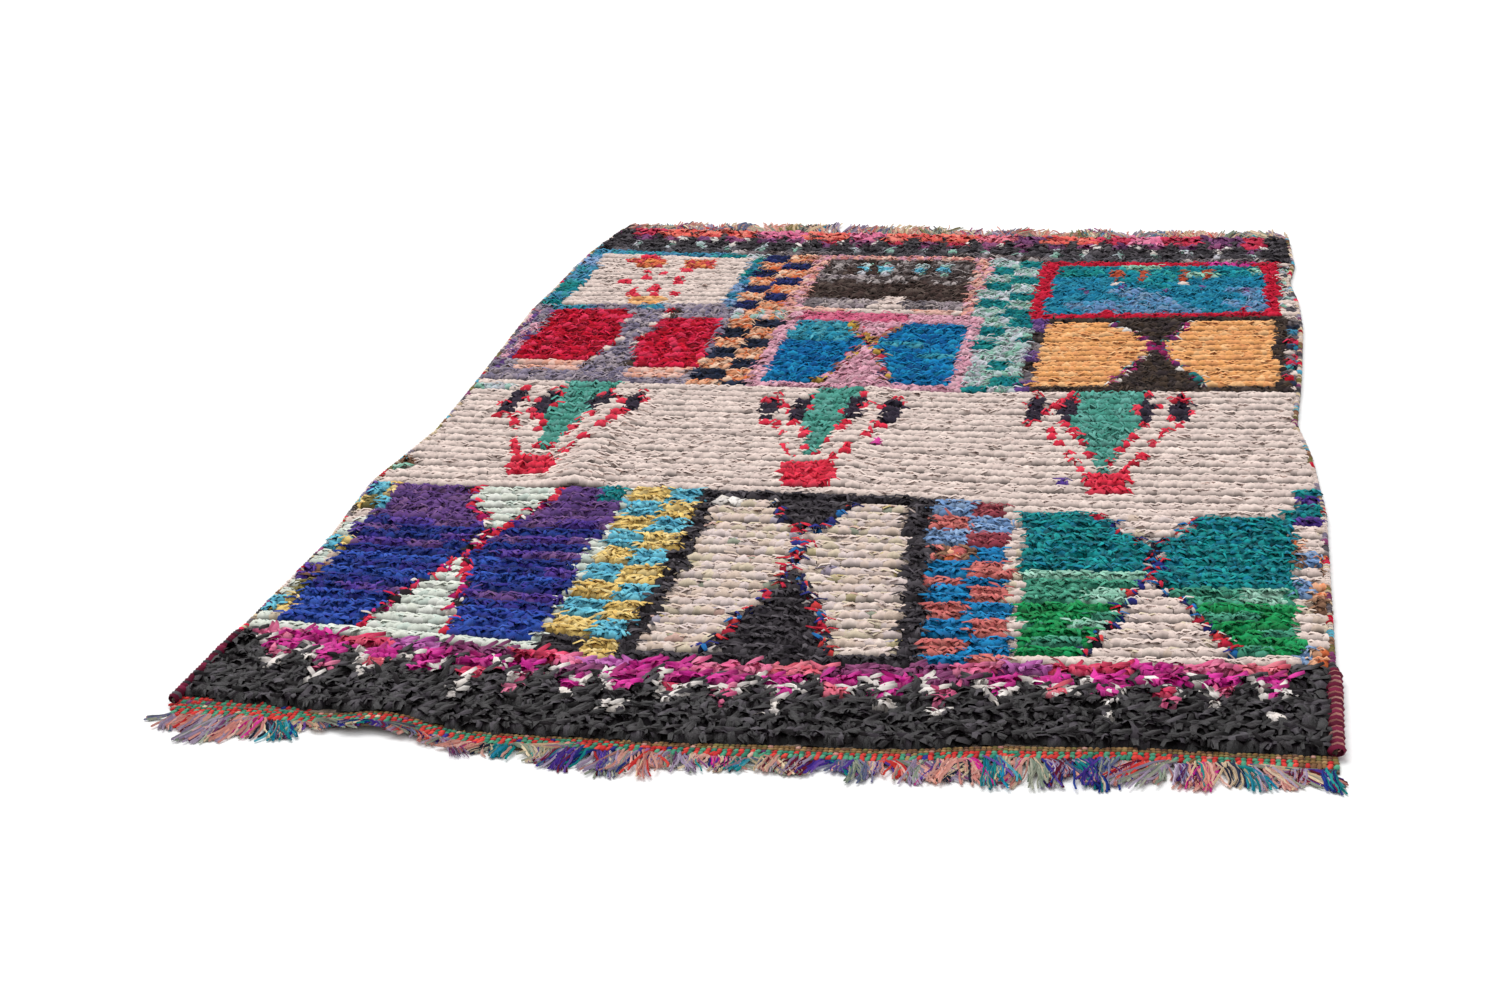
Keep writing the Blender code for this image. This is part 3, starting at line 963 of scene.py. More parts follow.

# %% [markdown]
# ## One torn scrap
#
# A knot is a strip of rag looped round two warps, with its ends pulled forward. What
# shows is the knot's own plump bow, and on it the loose ends, which rise from the
# ground, bow over and droop toward the row in front. A scrap is modelled as a
# three-sided tube: it is flat, has a crease along its back, and needs few faces, which
# matters because it is repeated tens of thousands of times. The tube is cut across,
# each ring is given its width, and then it is bent ring by ring from the tip back to
# the root, as one would bend a wire. The slopes say how far each stretch leans from
# upright. With no window open the rotate operator turns the other way, so its angles
# are given with TURN.
#
# Each kind of rag has its own form. FAN says how far its ends turn away from straight
# forward, in degrees: the middle ones at least, and the outer ones more. LEAN says how
# unruly it is. Rolls and thrums get no painted shade at root and tip, so their strip of
# the map is drawn together into its middle, away from the painted shade at both ends.

# %% Model the scraps
Form = namedtuple("Form", "width thick length widths slopes sway twist")
STATIONS = (0.0, 0.5, 1.0)
FORMS = {
    "rag": Form(0.0058, 0.0026, 0.034, (0.80, 1.10, 0.80), (34.0, 88.0, 136.0), 14.0, 22.0),
    "leaf": Form(0.0108, 0.0018, 0.034, (0.65, 1.15, 0.60), (36.0, 86.0, 132.0), 18.0, 34.0),
    "strand": Form(0.0044, 0.0022, 0.034, (0.90, 1.00, 0.80), (34.0, 88.0, 134.0), 18.0, 36.0),
    "roll": Form(0.0056, 0.0026, 0.036, (0.85, 1.05, 0.85), (42.0, 89.0, 136.0), 8.0, 14.0),
    "thrum": Form(0.0056, 0.0028, 0.033, (0.90, 1.05, 0.90), (32.0, 88.0, 138.0), 8.0, 14.0),
}
FAN = {
    "rag": (38.0, 84.0), "leaf": (32.0, 84.0), "strand": (46.0, 76.0), "roll": (80.0, 22.0),
    "thrum": (20.0, 80.0),
}
LEAN = {"rag": 1.0, "leaf": 1.2, "strand": 0.8, "roll": 0.35, "thrum": 0.5}
# Forms whose strips get no painted shade at root and tip.
PLAIN_FORMS = ("roll", "thrum")
PLAIN_FROM = 0.46
PLAIN_SHARE = 0.24
BOW_FORM = Form(0.0205, 0.0050, 0.034, (0.95, 1.05, 1.00), (26.0, 90.0, 156.0), 3.0, 3.0)
SHAPES_EACH = 8
SIDES_OF_STRIP = 3
TURN = -1.0
Shape = namedtuple("Shape", "points loops sizes strip bake")


def ring_numbers(mesh, heights):
    """Which vertices belong to each ring of an upright tube."""
    z = np.array([vertex.co.z for vertex in mesh.vertices])
    return [np.flatnonzero(abs(z - height) < 1e-5) for height in heights]


def select_points(piece, numbers):
    shape = bmesh.from_edit_mesh(piece.data)
    shape.verts.ensure_lookup_table()
    wanted = set(int(number) for number in numbers)
    for vertex in shape.verts:
        vertex.select = vertex.index in wanted
    shape.select_flush_mode()
    bmesh.update_edit_mesh(piece.data)


def bent_tube(width, thick, length, sides, widths, bends, sways, twists):
    """A tube bent joint by joint; it leans toward -Y, with its root at the origin."""
    deselect()
    spans = len(bends)
    heights = [length * number / spans for number in range(spans + 1)]
    bpy.ops.mesh.primitive_cylinder_add(
        vertices=sides, radius=0.5, depth=length, end_fill_type="NGON", location=(0.0, 0.0, length / 2.0))
    piece = bpy.context.object
    bpy.ops.object.transform_apply(location=True, rotation=True, scale=True)
    bpy.ops.object.mode_set(mode="EDIT")
    for height in heights[1:-1]:
        bpy.ops.mesh.select_all(action="SELECT")
        bpy.ops.mesh.bisect(plane_co=(0.0, 0.0, height), plane_no=(0.0, 0.0, 1.0))
    bpy.ops.object.mode_set(mode="OBJECT")
    rings = ring_numbers(piece.data, heights)
    bpy.ops.object.mode_set(mode="EDIT")
    for ring, height, share in zip(rings, heights, widths):
        select_points(piece, ring)
        bpy.ops.transform.resize(
            value=(width * share, thick * share ** 0.5, 1.0), center_override=(0.0, 0.0, height))
    for number in range(spans, 0, -1):
        select_points(piece, np.concatenate(rings[number:]))
        joint = (0.0, 0.0, heights[number - 1])
        for angle, axis in ((twists[number - 1], "Z"), (sways[number - 1], "Y"), (bends[number - 1], "X")):
            bpy.ops.transform.rotate(value=TURN * radians(angle), orient_axis=axis, center_override=joint)
    bpy.ops.object.mode_set(mode="OBJECT")
    return piece


def read_shape(piece, tube=True):
    """The mesh of a modelled shape as arrays, and the shape's object removed.

    A tube's own map has its side in the upper half and its two caps below. In the map
    for baking the side is given more room, and in the map called strip it fills all.
    """
    mesh = piece.data
    points = np.array([vertex.co[:] for vertex in mesh.vertices])
    loops = np.array([loop.vertex_index for loop in mesh.loops])
    sizes = np.array([len(face.vertices) for face in mesh.polygons])
    u, v = np.array([corner.uv[:] for corner in mesh.uv_layers[0].data]).T
    bpy.data.objects.remove(piece)
    bpy.data.meshes.remove(mesh)
    if not tube:
        return Shape(points, loops, sizes, np.stack([u, v], -1), np.stack([u, v], -1))
    side = v > 0.5 - 1e-6
    strip_v = np.where(side, (v - 0.5) * 2.0, 0.02).clip(0.01, 0.99)
    bake_v = np.where(side, (v - 0.5) * 1.6 + 0.2, v * 0.3)
    return Shape(points, loops, sizes, np.stack([u, strip_v], -1), np.stack([u, bake_v], -1))


def scraps(form, spans, count, rng, uneven=0.20):
    """A few unlike scraps of one form."""
    made = []
    shares = np.arange(spans + 1) / spans
    middles = (np.arange(spans) + 0.5) / spans
    for _ in range(count):
        widths = np.interp(shares, STATIONS, form.widths) * rng.uniform(0.78, 1.22, spans + 1)
        slopes = np.interp(middles, STATIONS, form.slopes)
        bends = np.diff(slopes, prepend=0.0) * rng.uniform(1.0 - uneven, 1.0 + uneven, spans)
        sways = rng.uniform(-form.sway, form.sway, spans)
        twists = rng.uniform(-form.twist, form.twist, spans)
        length = form.length * rng.uniform(0.9, 1.1)
        piece = bent_tube(form.width, form.thick, length, SIDES_OF_STRIP, widths, bends, sways, twists)
        made.append(read_shape(piece))
    return made


shape_draws = np.random.default_rng(11)
FORM_ORDER = list(FORMS)
SCRAPS = {spans: [one for name in FORM_ORDER for one in scraps(FORMS[name], spans, SHAPES_EACH, shape_draws)]
          for spans in (2, 3)}
for made in SCRAPS.values():
    for number, one in enumerate(made):
        if FORM_ORDER[number // SHAPES_EACH] in PLAIN_FORMS:
            one.strip[:, 1] = PLAIN_FROM + PLAIN_SHARE * one.strip[:, 1]
BOWS = scraps(BOW_FORM, 3, SHAPES_EACH, shape_draws)
for made in (*SCRAPS.values(), BOWS):
    reach = min(one.points[:, 1].min() for one in made)
    height = max(one.points[:, 2].max() for one in made)
    print(len(made), "shapes; they reach", round(reach, 4), "and stand", round(height, 4))

# %% [markdown]
# ## Stamping
#
# A band of pile is thousands of scraps in one mesh. Geometry nodes could scatter
# them, but here each scrap's place, turn, size and dye come from the chart, so arrays
# are simpler: the points of all copies are worked out at once, and one mesh is filled
# with them. Each copy has its own small cell of a second UV map, so its colour can be
# baked, and the map called strip runs along it for the folds.
#
# Two things belong to the pile alone. Little light reaches its foot, so each point's
# dye is darkened by how near the ground it lies, and the rows stand out as lines. And
# at the sides the scraps may hang a little way over the cords, where they droop.

# %% Stamp copies into one mesh
Copies = namedtuple("Copies", "place yaw pitch scale shape dye gloss")
CELL_MARGIN = 0.10
LOWEST = 0.0006
OVERHANG = ((-1.12, -1.04), (0.0035, 0.0110))
DROOP = 0.6
DEEP_SHADE = ((0.0034, 0.0122), (0.24, 1.0))
SMOOTH_BELOW = radians(84.0)


def turned(points, yaw, pitch):
    """Points tipped about X and then turned about Z, one angle for each copy."""
    x, y, z = points[..., 0], points[..., 1], points[..., 2]
    y, z = (y * np.cos(pitch)[:, None] - z * np.sin(pitch)[:, None],
            y * np.sin(pitch)[:, None] + z * np.cos(pitch)[:, None])
    x, y = (x * np.cos(yaw)[:, None] - y * np.sin(yaw)[:, None],
            x * np.sin(yaw)[:, None] + y * np.cos(yaw)[:, None])
    return np.stack([x, y, z], axis=-1)


def stamp(name, shapes, copies, material, rng, inside=False):
    """One mesh of many copies; every shape in the list has the same faces."""
    count = len(copies.yaw)
    base = shapes[0]
    points = np.stack([shape.points for shape in shapes])[copies.shape]
    points = turned(points * copies.scale[:, None, :], copies.yaw, copies.pitch)
    points = points + copies.place[:, None, :]
    if inside:
        left, right = left_edge(points[..., 1]), right_edge(points[..., 1])
        over = np.interp(points[..., 1], *OVERHANG)
        points[..., 0] = np.clip(points[..., 0], left - over, right + over)
        points[..., 2] -= DROOP * np.maximum(np.maximum(left - points[..., 0], points[..., 0] - right), 0.0)
    lowest = lift(points[..., 0], points[..., 1]) + LOWEST
    if inside:
        points[..., 2] = np.maximum(points[..., 2], lowest)
    else:
        points[..., 2] += np.maximum(lowest - points[..., 2], 0.0).max(axis=1)[:, None]
    per_copy = base.points.shape[0]
    loops = base.loops[None, :] + per_copy * np.arange(count)[:, None]
    sizes = np.tile(base.sizes, count)
    starts = np.concatenate([[0], np.cumsum(sizes)[:-1]])

    mesh = bpy.data.meshes.new(name)
    mesh.vertices.add(points.shape[0] * per_copy)
    mesh.vertices.foreach_set("co", points.ravel())
    mesh.loops.add(loops.size)
    mesh.loops.foreach_set("vertex_index", loops.ravel().astype(np.int32))
    mesh.polygons.add(sizes.size)
    mesh.polygons.foreach_set("loop_start", starts.astype(np.int32))
    mesh.polygons.foreach_set("loop_total", sizes.astype(np.int32))
    mesh.update(calc_edges=True)

    side = int(np.ceil(np.sqrt(count)))
    cell = np.stack([np.arange(count) % side, np.arange(count) // side], -1)[:, None, :]
    bake_uvs = np.stack([shape.bake for shape in shapes])[copies.shape]
    bake_uvs = (cell + CELL_MARGIN + (1.0 - 2.0 * CELL_MARGIN) * bake_uvs) / side
    strip_uvs = np.stack([shape.strip for shape in shapes])[copies.shape] + rng.integers(0, 40, (count, 1, 2))
    for label, uvs in (("strip", strip_uvs), ("OFBake", bake_uvs)):
        layer = mesh.uv_layers.new(name=label)
        layer.data.foreach_set("uv", uvs.ravel())

    dye = mesh.attributes.new("dye", "FLOAT_COLOR", "POINT")
    colour = np.ones((count, per_copy, 4))
    colour[..., :3] = copies.dye[:, None, :]
    # Painted shade: in the pile, the dye of each point is darkened the nearer it lies to the ground.
    if inside:
        above = points[..., 2] - lowest + LOWEST
        colour[..., :3] *= np.interp(above, *DEEP_SHADE)[..., None]
    dye.data.foreach_set("color", colour.ravel())
    gloss = mesh.attributes.new("gloss", "FLOAT", "POINT")
    gloss.data.foreach_set("value", np.repeat(copies.gloss, per_copy))

    piece = bpy.data.objects.new(name, mesh)
    bpy.context.scene.collection.objects.link(piece)
    mesh.materials.append(material)
    deselect()
    piece.select_set(True)
    bpy.context.view_layer.objects.active = piece
    bpy.ops.object.shade_smooth_by_angle(angle=SMOOTH_BELOW)
    triangles = int((sizes - 2).sum())
    print(name, "has", count, "copies and", triangles, "triangles")
    return piece


# %% [markdown]
# ## The pile
#
# The bands lie one beyond another, and the line between two bands wanders across the
# rug. So each band has its near line and its far line, and its rows share the space
# between them. In each row the knots stand about 11 mm apart. Every knot shows its bow
# and a few loose ends, which fan out to both sides along the row. Their dye comes from
# the chart, and small draws turn, tip and stretch each one, so that no two knots are
# alike. Rolled jersey lies calmer and wider than the rest. Some ends stand up wildly,
# as old rags do. At the near left corner the pile draws back from a deeper flat band.

# %% Lay the bands of pile
KNOTS = 122
ROOT_HEIGHT = 0.0025
PITCH_OF_SHAPES = 0.0325
REACH = 0.026
ROLL_MIDDLE = 0.0155
ROW_SHARE = 0.94
CALM = 0.35
ROLL_WIDTH = 1.3
OTHER_STRETCH = 1.06
BOW_BACK = 0.0020
WILD_SHARE = 0.025
KNOT_LEAN = radians(22.0)
END_LEAN = radians(13.0)
WILD_LEAN = radians(50.0)
WILD_TIP = radians(14.0)
END_SPREAD = 0.010
FLAT_HEIGHT = 0.55
PILE_SEED = 100
Band = namedtuple("Band", "name rows near far chart scraps spans loose")


def end_line(table):
    return tuple((row.x, row.pile) for row in table)


BORDER_LINE = (
    (-0.644, -1.066), (-0.284, -1.112), (-0.221, -1.134), (0.068, -1.131), (0.312, -1.101),
    (0.637, -1.067),
)
CREAM_NEAR = (
    (-0.647, -0.440), (-0.534, -0.449), (-0.247, -0.427), (0.105, -0.443), (0.268, -0.465),
    (0.633, -0.458),
)
CREAM_FAR = ((-0.670, 0.158), (-0.303, 0.145), (0.127, 0.135), (0.665, 0.184))
MIDDLE_FAR = ((-0.693, 0.639), (-0.341, 0.674), (0.085, 0.653), (0.206, 0.633), (0.656, 0.698))
FAR_LINE = ((-0.671, 1.148), (-0.344, 1.116), (0.052, 1.126), (0.204, 1.093), (0.658, 1.116))
CORNER_BACK = ((-0.70, -0.60, -0.46), (0.031, 0.017, 0.0))
NEAR_LINE = tuple((x, y + float(np.interp(x, *CORNER_BACK))) for x, y in end_line(NEAR_END))
BANDS = (
    Band("near_border", 7, NEAR_LINE, BORDER_LINE, near_border, 5, 3, 1.1),
    Band("near_band", NEAR_ROWS, BORDER_LINE, CREAM_NEAR, near_band, 5, 2, 1.0),
    Band("cream_band", CREAM_ROWS, CREAM_NEAR, CREAM_FAR, cream_band, 4, 2, 0.6),
    Band("middle_band", MIDDLE_ROWS, CREAM_FAR, MIDDLE_FAR, middle_band, 4, 2, 0.9),
    Band("far_band", FAR_ROWS, MIDDLE_FAR, FAR_LINE, far_band, 4, 2, 0.9),
    Band("far_border", 6, FAR_LINE, end_line(FAR_END), far_border, 4, 2, 1.2),
)


def line_at(line, x):
    xs, ys = zip(*line)
    return np.interp(x, xs, ys)


def row_wander(x, row):
    """How far a row strays from its even place, in metres."""
    return 0.0022 * np.sin(9.0 * x + 1.7 * row) + 0.0016 * np.sin(23.0 * x - 2.9 * row)


def knot_line(band, row):
    """The knots of one row: their places, their dyes, and the row's depth at each."""
    share = (row + ROW_SHARE) / band.rows
    middle = (1.0 - share) * line_at(band.near, 0.0) + share * line_at(band.far, 0.0)
    across = (np.arange(KNOTS) + 0.5) / KNOTS
    over = np.interp(middle, *OVERHANG) - OVERHANG[1][0]
    x = left_edge(middle) - over + across * (right_edge(middle) - left_edge(middle) + 2.0 * over)
    y = (1.0 - share) * line_at(band.near, x) + share * line_at(band.far, x) + row_wander(x, row)
    depth = (line_at(band.far, x) - line_at(band.near, x)) / band.rows
    return x, y, depth, [band.chart(place, row) for place in x]


def lay_bows(band, x, y, depth, dyes, rng):
    """The plump bow of each knot; side by side they make the roll of a row."""
    count = len(x)
    stretch = depth / PITCH_OF_SHAPES
    flat = np.array([DYES[dye].form == "roll" for dye in dyes])
    unrest = np.where(flat, CALM, 1.0)
    yaw = unrest * rng.normal(0.0, radians(4.0), count)
    root_y = y + 0.0012 * unrest * rng.normal(0.0, 1.0, count) - BOW_BACK
    root_z = lift(x, root_y) + ROOT_HEIGHT
    width = rng.uniform(0.9, 1.1, count) * np.where(flat, ROLL_WIDTH, 1.0)
    stretch = stretch * np.where(flat, 1.0, OTHER_STRETCH)
    scale = np.stack([width, stretch, 0.98 + 0.10 * unrest * rng.uniform(-1.0, 1.0, count)], -1)
    tones, gloss = dyed(dyes, rng)
    shape = rng.integers(len(BOWS), size=count)
    copies = Copies(np.stack([x, root_y, root_z], -1), yaw, np.zeros(count), scale, shape, tones, gloss)
    return stamp("bows_" + band.name, BOWS, copies, BOW, rng, inside=True)


def lay_ends(band, x, y, depth, dyes, rng):
    """The loose ends: those of one knot fan out to both sides, and a few stand up."""
    count = len(x) * band.scraps
    knot = np.repeat(np.arange(len(x)), band.scraps)
    slot = (np.tile(np.arange(band.scraps), len(x)) + 0.5) / band.scraps - 0.5
    kinds = [DYES[dye].form for dye in dyes]
    least, widest = np.radians([FAN[kind] for kind in kinds])[knot].T
    lean_share = np.array([LEAN[kind] for kind in kinds])[knot]
    wild = rng.random(count) < WILD_SHARE * band.loose * lean_share
    fan = np.sign(slot + 0.01) * (least + widest * abs(slot))
    lean = KNOT_LEAN * rng.normal(0.0, 1.0, len(x))
    own = np.where(wild, WILD_LEAN, END_LEAN) * rng.normal(0.0, 1.0, count)
    yaw = fan + band.loose * lean_share * (lean[knot] + own)
    straight = np.cos(yaw) ** 2
    stretch = depth[knot] / PITCH_OF_SHAPES
    length = stretch * (0.72 + 0.28 * straight) * rng.uniform(0.80, 1.02, count)
    height = (0.60 + 0.40 * straight) * rng.uniform(0.90, 1.08, count)
    mid_x = x[knot] + END_SPREAD * slot + rng.normal(0.0, 0.0014, count)
    flat = np.array([kind == "roll" for kind in kinds])[knot]
    mid_y = y[knot] - ROLL_MIDDLE * stretch + 0.0015 * flat + rng.normal(0.0, 0.0022, count)
    root_x = mid_x - 0.5 * REACH * length * np.sin(yaw)
    root_y = mid_y + 0.5 * REACH * length * np.cos(yaw)
    height = np.where(flat, FLAT_HEIGHT, height)
    root_z = lift(root_x, root_y) + ROOT_HEIGHT + 0.0014 + 0.0056 * (1.0 - straight) - 0.0018 * flat
    pitch = rng.normal(0.0, radians(3.0), count) - np.where(wild, WILD_TIP, 0.0)
    scale = np.stack([rng.uniform(0.70, 1.35, count), length, height], -1)
    forms = np.array([FORM_ORDER.index(kind) for kind in kinds])[knot]
    tones, gloss = dyed(np.asarray(dyes)[knot], rng)
    shape = forms * SHAPES_EACH + rng.integers(SHAPES_EACH, size=count)
    copies = Copies(np.stack([root_x, root_y, root_z], -1), yaw, pitch, scale, shape, tones, gloss)
    return stamp("ends_" + band.name, SCRAPS[band.spans], copies, RAG, rng, inside=True)


def lay_band(band, rng):
    knots = [np.concatenate(column) for column in zip(*(knot_line(band, row) for row in range(band.rows)))]
    return [lay_bows(band, *knots, rng), lay_ends(band, *knots, rng)]


pile = []
for number, band in enumerate(BANDS):
    pile += lay_band(band, np.random.default_rng(PILE_SEED + number))

# %% [markdown]
# ## The ground cloth
#
# Under the pile is the woven ground: warps along the rug, and a few brown and tan
# wefts beaten down between two rows of knots. Its tones are painted darker than the
# cloth's own brown and tan, as painted shade, so it shows as thin dark lines between
# the rows. It is the whole of the rug's back. It is a grid laid out on the outline,
# given its thickness by an extrusion.

# %% Weave the ground cloth
GROUND_THICK = 0.0032
GROUND_COLUMNS = 36
GROUND_LINES = 80
# Brown and tan of the ground, made darker as painted shade so that the gaps between rows look shaded.
GROUND_TONES_WITH_PAINTED_SHADE = (
    (0.0, (40, 31, 28)), (0.38, (74, 54, 42)), (0.52, (106, 84, 60)), (0.66, (66, 46, 42)),
    (1.0, (90, 76, 62)),
)


def ground_material():
    made = bpy.data.materials.new("ground_cloth")
    made.use_nodes = True
    tree = made.node_tree
    shader = tree.nodes["Principled BSDF"]
    shader.inputs["Sheen Weight"].default_value = 0.2
    place = tree.nodes.new("ShaderNodeTexCoord").outputs["Object"]
    stretch = tree.nodes.new("ShaderNodeMapping")
    stretch.inputs["Scale"].default_value = (6.0, 120.0, 6.0)
    tree.links.new(place, stretch.inputs["Vector"])
    ramp = tree.nodes.new("ShaderNodeValToRGB")
    while len(ramp.color_ramp.elements) < len(GROUND_TONES_WITH_PAINTED_SHADE):
        ramp.color_ramp.elements.new(0.5)
    for element, (position, tone) in zip(ramp.color_ramp.elements, GROUND_TONES_WITH_PAINTED_SHADE):
        element.position = position
        element.color = (*linear(tone), 1.0)
    tree.links.new(noise(tree, stretch.outputs["Vector"], 1.0, 4.0, 0.6), ramp.inputs["Fac"])
    tree.links.new(ramp.outputs["Color"], shader.inputs["Base Color"])
    tree.links.new(math_node(tree, "ADD", noise(tree, place, 300.0), 0.35), shader.inputs["Roughness"])
    grain = tree.nodes.new("ShaderNodeGroup")
    grain.node_tree = THREAD_GRAIN
    grain.inputs["Threads"].default_value = 1900.0
    bump = tree.nodes.new("ShaderNodeBump")
    bump.inputs["Strength"].default_value = 0.9
    bump.inputs["Distance"].default_value = 0.0012
    tree.links.new(grain.outputs["Height"], bump.inputs["Height"])
    tree.links.new(bump.outputs["Normal"], shader.inputs["Normal"])
    return made


def grid_sheet(name, columns, lines, place, thickness):
    """A closed sheet: a grid laid out by place(across, along), extruded straight up."""
    deselect()
    bpy.ops.mesh.primitive_grid_add(x_subdivisions=columns, y_subdivisions=lines, size=1.0)
    piece = bpy.context.object
    piece.name = piece.data.name = name
    points = np.array([vertex.co[:] for vertex in piece.data.vertices])
    x, y = place(points[:, 0] + 0.5, points[:, 1] + 0.5)
    piece.data.vertices.foreach_set("co", np.stack([x, y, lift(x, y)], -1).ravel())
    bpy.ops.object.mode_set(mode="EDIT")
    bpy.ops.mesh.select_all(action="SELECT")
    bpy.ops.mesh.extrude_region_move(TRANSFORM_OT_translate={"value": (0.0, 0.0, thickness)})
    bpy.ops.mesh.select_all(action="SELECT")
    bpy.ops.mesh.normals_make_consistent(inside=False)
    bpy.ops.object.mode_set(mode="OBJECT")
    return piece


def field_place(across, along):
    middle = (1.0 - along) * NEAR_END[0].pile + along * FAR_END[0].pile
    left, right_side = left_edge(middle), right_edge(middle)
    x = (1.0 - across) * left + across * right_side
    near, far = between(NEAR_END, "pile", "x", x), between(FAR_END, "pile", "x", x)
    return x, (1.0 - along) * near + along * far


ground = grid_sheet("ground_cloth", GROUND_COLUMNS, GROUND_LINES, field_place, GROUND_THICK)
ground.data.materials.append(ground_material())
print("the ground cloth has", len(ground.data.polygons), "faces")

# %% [markdown]
# ## The twined bands
#
# Each end is closed by twining: two yarns of unlike colour pass round the warps and
# round each other, and give a row of slanting stitches, one red, one green. Here
# they lie on a narrow strip of plain tan weft. A stitch is a small ball drawn out
# into a grain of rice, and the chart of the band gives each its size and dye. The
# outer row is the boldest. The strip under it is made like the ground cloth. At the
# near left corner the band is deeper, and two more rows fill it. Its corner there is
# cut off a little, and at the near right corner bare tan weft shows.

# %% Twine the bands
STITCH_WIDTH = 0.0062
BAND_GROUND = 0.0024
TWINE_ROWS = {
    "near": ((-0.54, 0.0110, "corner"), (-0.22, 0.0110, "corner"), (0.10, 0.0070, "weft"),
             (0.27, 0.0070, "inner"), (0.47, 0.0100, "small"), (0.76, 0.0170, "bold")),
    "far": ((0.14, 0.0065, "weft"), (0.42, 0.0080, "small"), (0.76, 0.0100, "bold")),
}
DYES.update({
    "twine_red": Dye("strand", 0.16, ((206, 58, 54), (216, 70, 62), (192, 46, 48))),
    "twine_green": Dye("strand", 0.16, ((66, 142, 112), (54, 128, 104), (84, 156, 124))),
    "tan": Dye("strand", 0.12, ((150, 118, 78), (136, 104, 66), (164, 132, 90), (122, 88, 62))),
    "yarn_cream": Dye("strand", 0.12, ((222, 202, 170), (214, 190, 156), (206, 184, 160))),
    "yarn_blush": Dye("strand", 0.12, ((206, 148, 136), (196, 132, 124), (214, 164, 152))),
    "yarn_slate": Dye("strand", 0.12, ((110, 116, 148), (96, 104, 136), (128, 128, 156))),
    "yarn_sage": Dye("strand", 0.12, ((146, 154, 138), (128, 142, 126), (160, 162, 146))),
    "yarn_wine": Dye("strand", 0.14, ((100, 24, 50), (84, 18, 40), (120, 36, 64))),
    "yarn_lilac": Dye("strand", 0.12, ((164, 148, 172), (150, 134, 162), (178, 164, 184))),
})


def stitch_shape():
    """One stitch: a low ball, stretched later to each stitch's own size."""
    deselect()
    bpy.ops.mesh.primitive_ico_sphere_add(subdivisions=1, radius=0.5)
    piece = bpy.context.object
    bpy.ops.object.mode_set(mode="EDIT")
    bpy.ops.mesh.select_all(action="SELECT")
    bpy.ops.transform.rotate(value=radians(18.0), orient_axis="Z", center_override=(0.0, 0.0, 0.0))
    bpy.ops.object.mode_set(mode="OBJECT")
    return read_shape(piece, tube=False)


INNER_TWINE_TO = -0.12
CORNER_TO = -0.50
TAN_FROM = 0.630
CORNER_CUT = 0.016


def twine_dye(kind, number, x, rng):
    if kind == "inner":
        kind = "small" if x < INNER_TWINE_TO else "weft"
        number += 1
    if kind == "weft" and x < CORNER_TO:
        kind = "corner"
    if kind == "weft":
        return ("tan", "olive", "tan", "brown", "yarn_blush")[rng.choice(5, p=(0.5, 0.18, 0.16, 0.11, 0.05))]
    odd = rng.random()
    if x > TAN_FROM and odd < 0.6:
        return "tan"
    if odd < 0.05:
        return ("royal", "yarn_blush", "yarn_cream", "tan", "violet")[rng.integers(5)]
    step = number + (1 if kind == "small" else 0) + int(rng.random() < 0.12)
    return "twine_red" if step % 2 else "twine_green"


def end_span(end):
    middle = 0.5 * (end[0].pile + end[0].band)
    return float(between(SIDES, "left", "y", middle)), float(between(SIDES, "right", "y", middle))


def band_place(end, outward):
    """Where a place across and along the flat band lies."""
    left, right_side = end_span(end)
    cut = CORNER_CUT if outward < 0 else 0.0

    def place(across, along):
        depth = along if outward > 0 else 1.0 - along
        x = (1.0 - across) * (left + cut * depth) + across * right_side
        inner = between(end, "pile", "x", x) + outward * GAP
        return x, (1.0 - depth) * inner + depth * between(end, "band", "x", x)

    return place


STITCH = [stitch_shape()]


def twined_band(which, end, outward, rng):
    left, right_side = end_span(end)
    columns = int((right_side - left) / STITCH_WIDTH)
    x_line = left + (np.arange(columns) + 0.5) * (right_side - left) / columns
    inner, outer = between(end, "pile", "x", x_line), between(end, "band", "x", x_line)
    places, scales, names = [], [], []
    for depth, size, kind in TWINE_ROWS[which]:
        kept = x_line < (CORNER_TO if kind == "corner" else right_side)
        kept &= x_line > left + (CORNER_CUT * depth if outward < 0 else 0.0)
        spots, count = x_line[kept], int(kept.sum())
        y = (inner + depth * (outer - inner))[kept] + 0.0012 * np.sin(31.0 * spots)
        z = lift(spots, y) + BAND_GROUND + 0.0006
        places.append(np.stack([spots + rng.normal(0.0, 0.0005, count), y, z], -1))
        fat = 0.0050 if kind == "bold" else 0.0036
        scales.append(np.stack([1.25 * STITCH_WIDTH * rng.uniform(0.85, 1.15, count),
                                1.15 * size * rng.uniform(0.85, 1.15, count), fat * np.ones(count)], -1))
        names += [twine_dye(kind, number, spot, rng) for number, spot in enumerate(spots)]
    place, scale = np.concatenate(places), np.concatenate(scales)
    count = len(place)
    colour, gloss = dyed(names, rng)
    yaw = rng.normal(outward * radians(10.0), radians(9.0), count)
    copies = Copies(place, yaw, np.zeros(count), scale, np.zeros(count, int), colour, gloss)
    stitches = stamp("twining_" + which, STITCH, copies, YARN, rng)
    strip = grid_sheet("band_ground_" + which, GROUND_COLUMNS, 2, band_place(end, outward), BAND_GROUND)
    strip.data.materials.append(ground.data.materials[0])
    return stitches, strip


near_twining, near_strip = twined_band("near", NEAR_END, -1, np.random.default_rng(21))
far_twining, far_strip = twined_band("far", FAR_END, 1, np.random.default_rng(22))

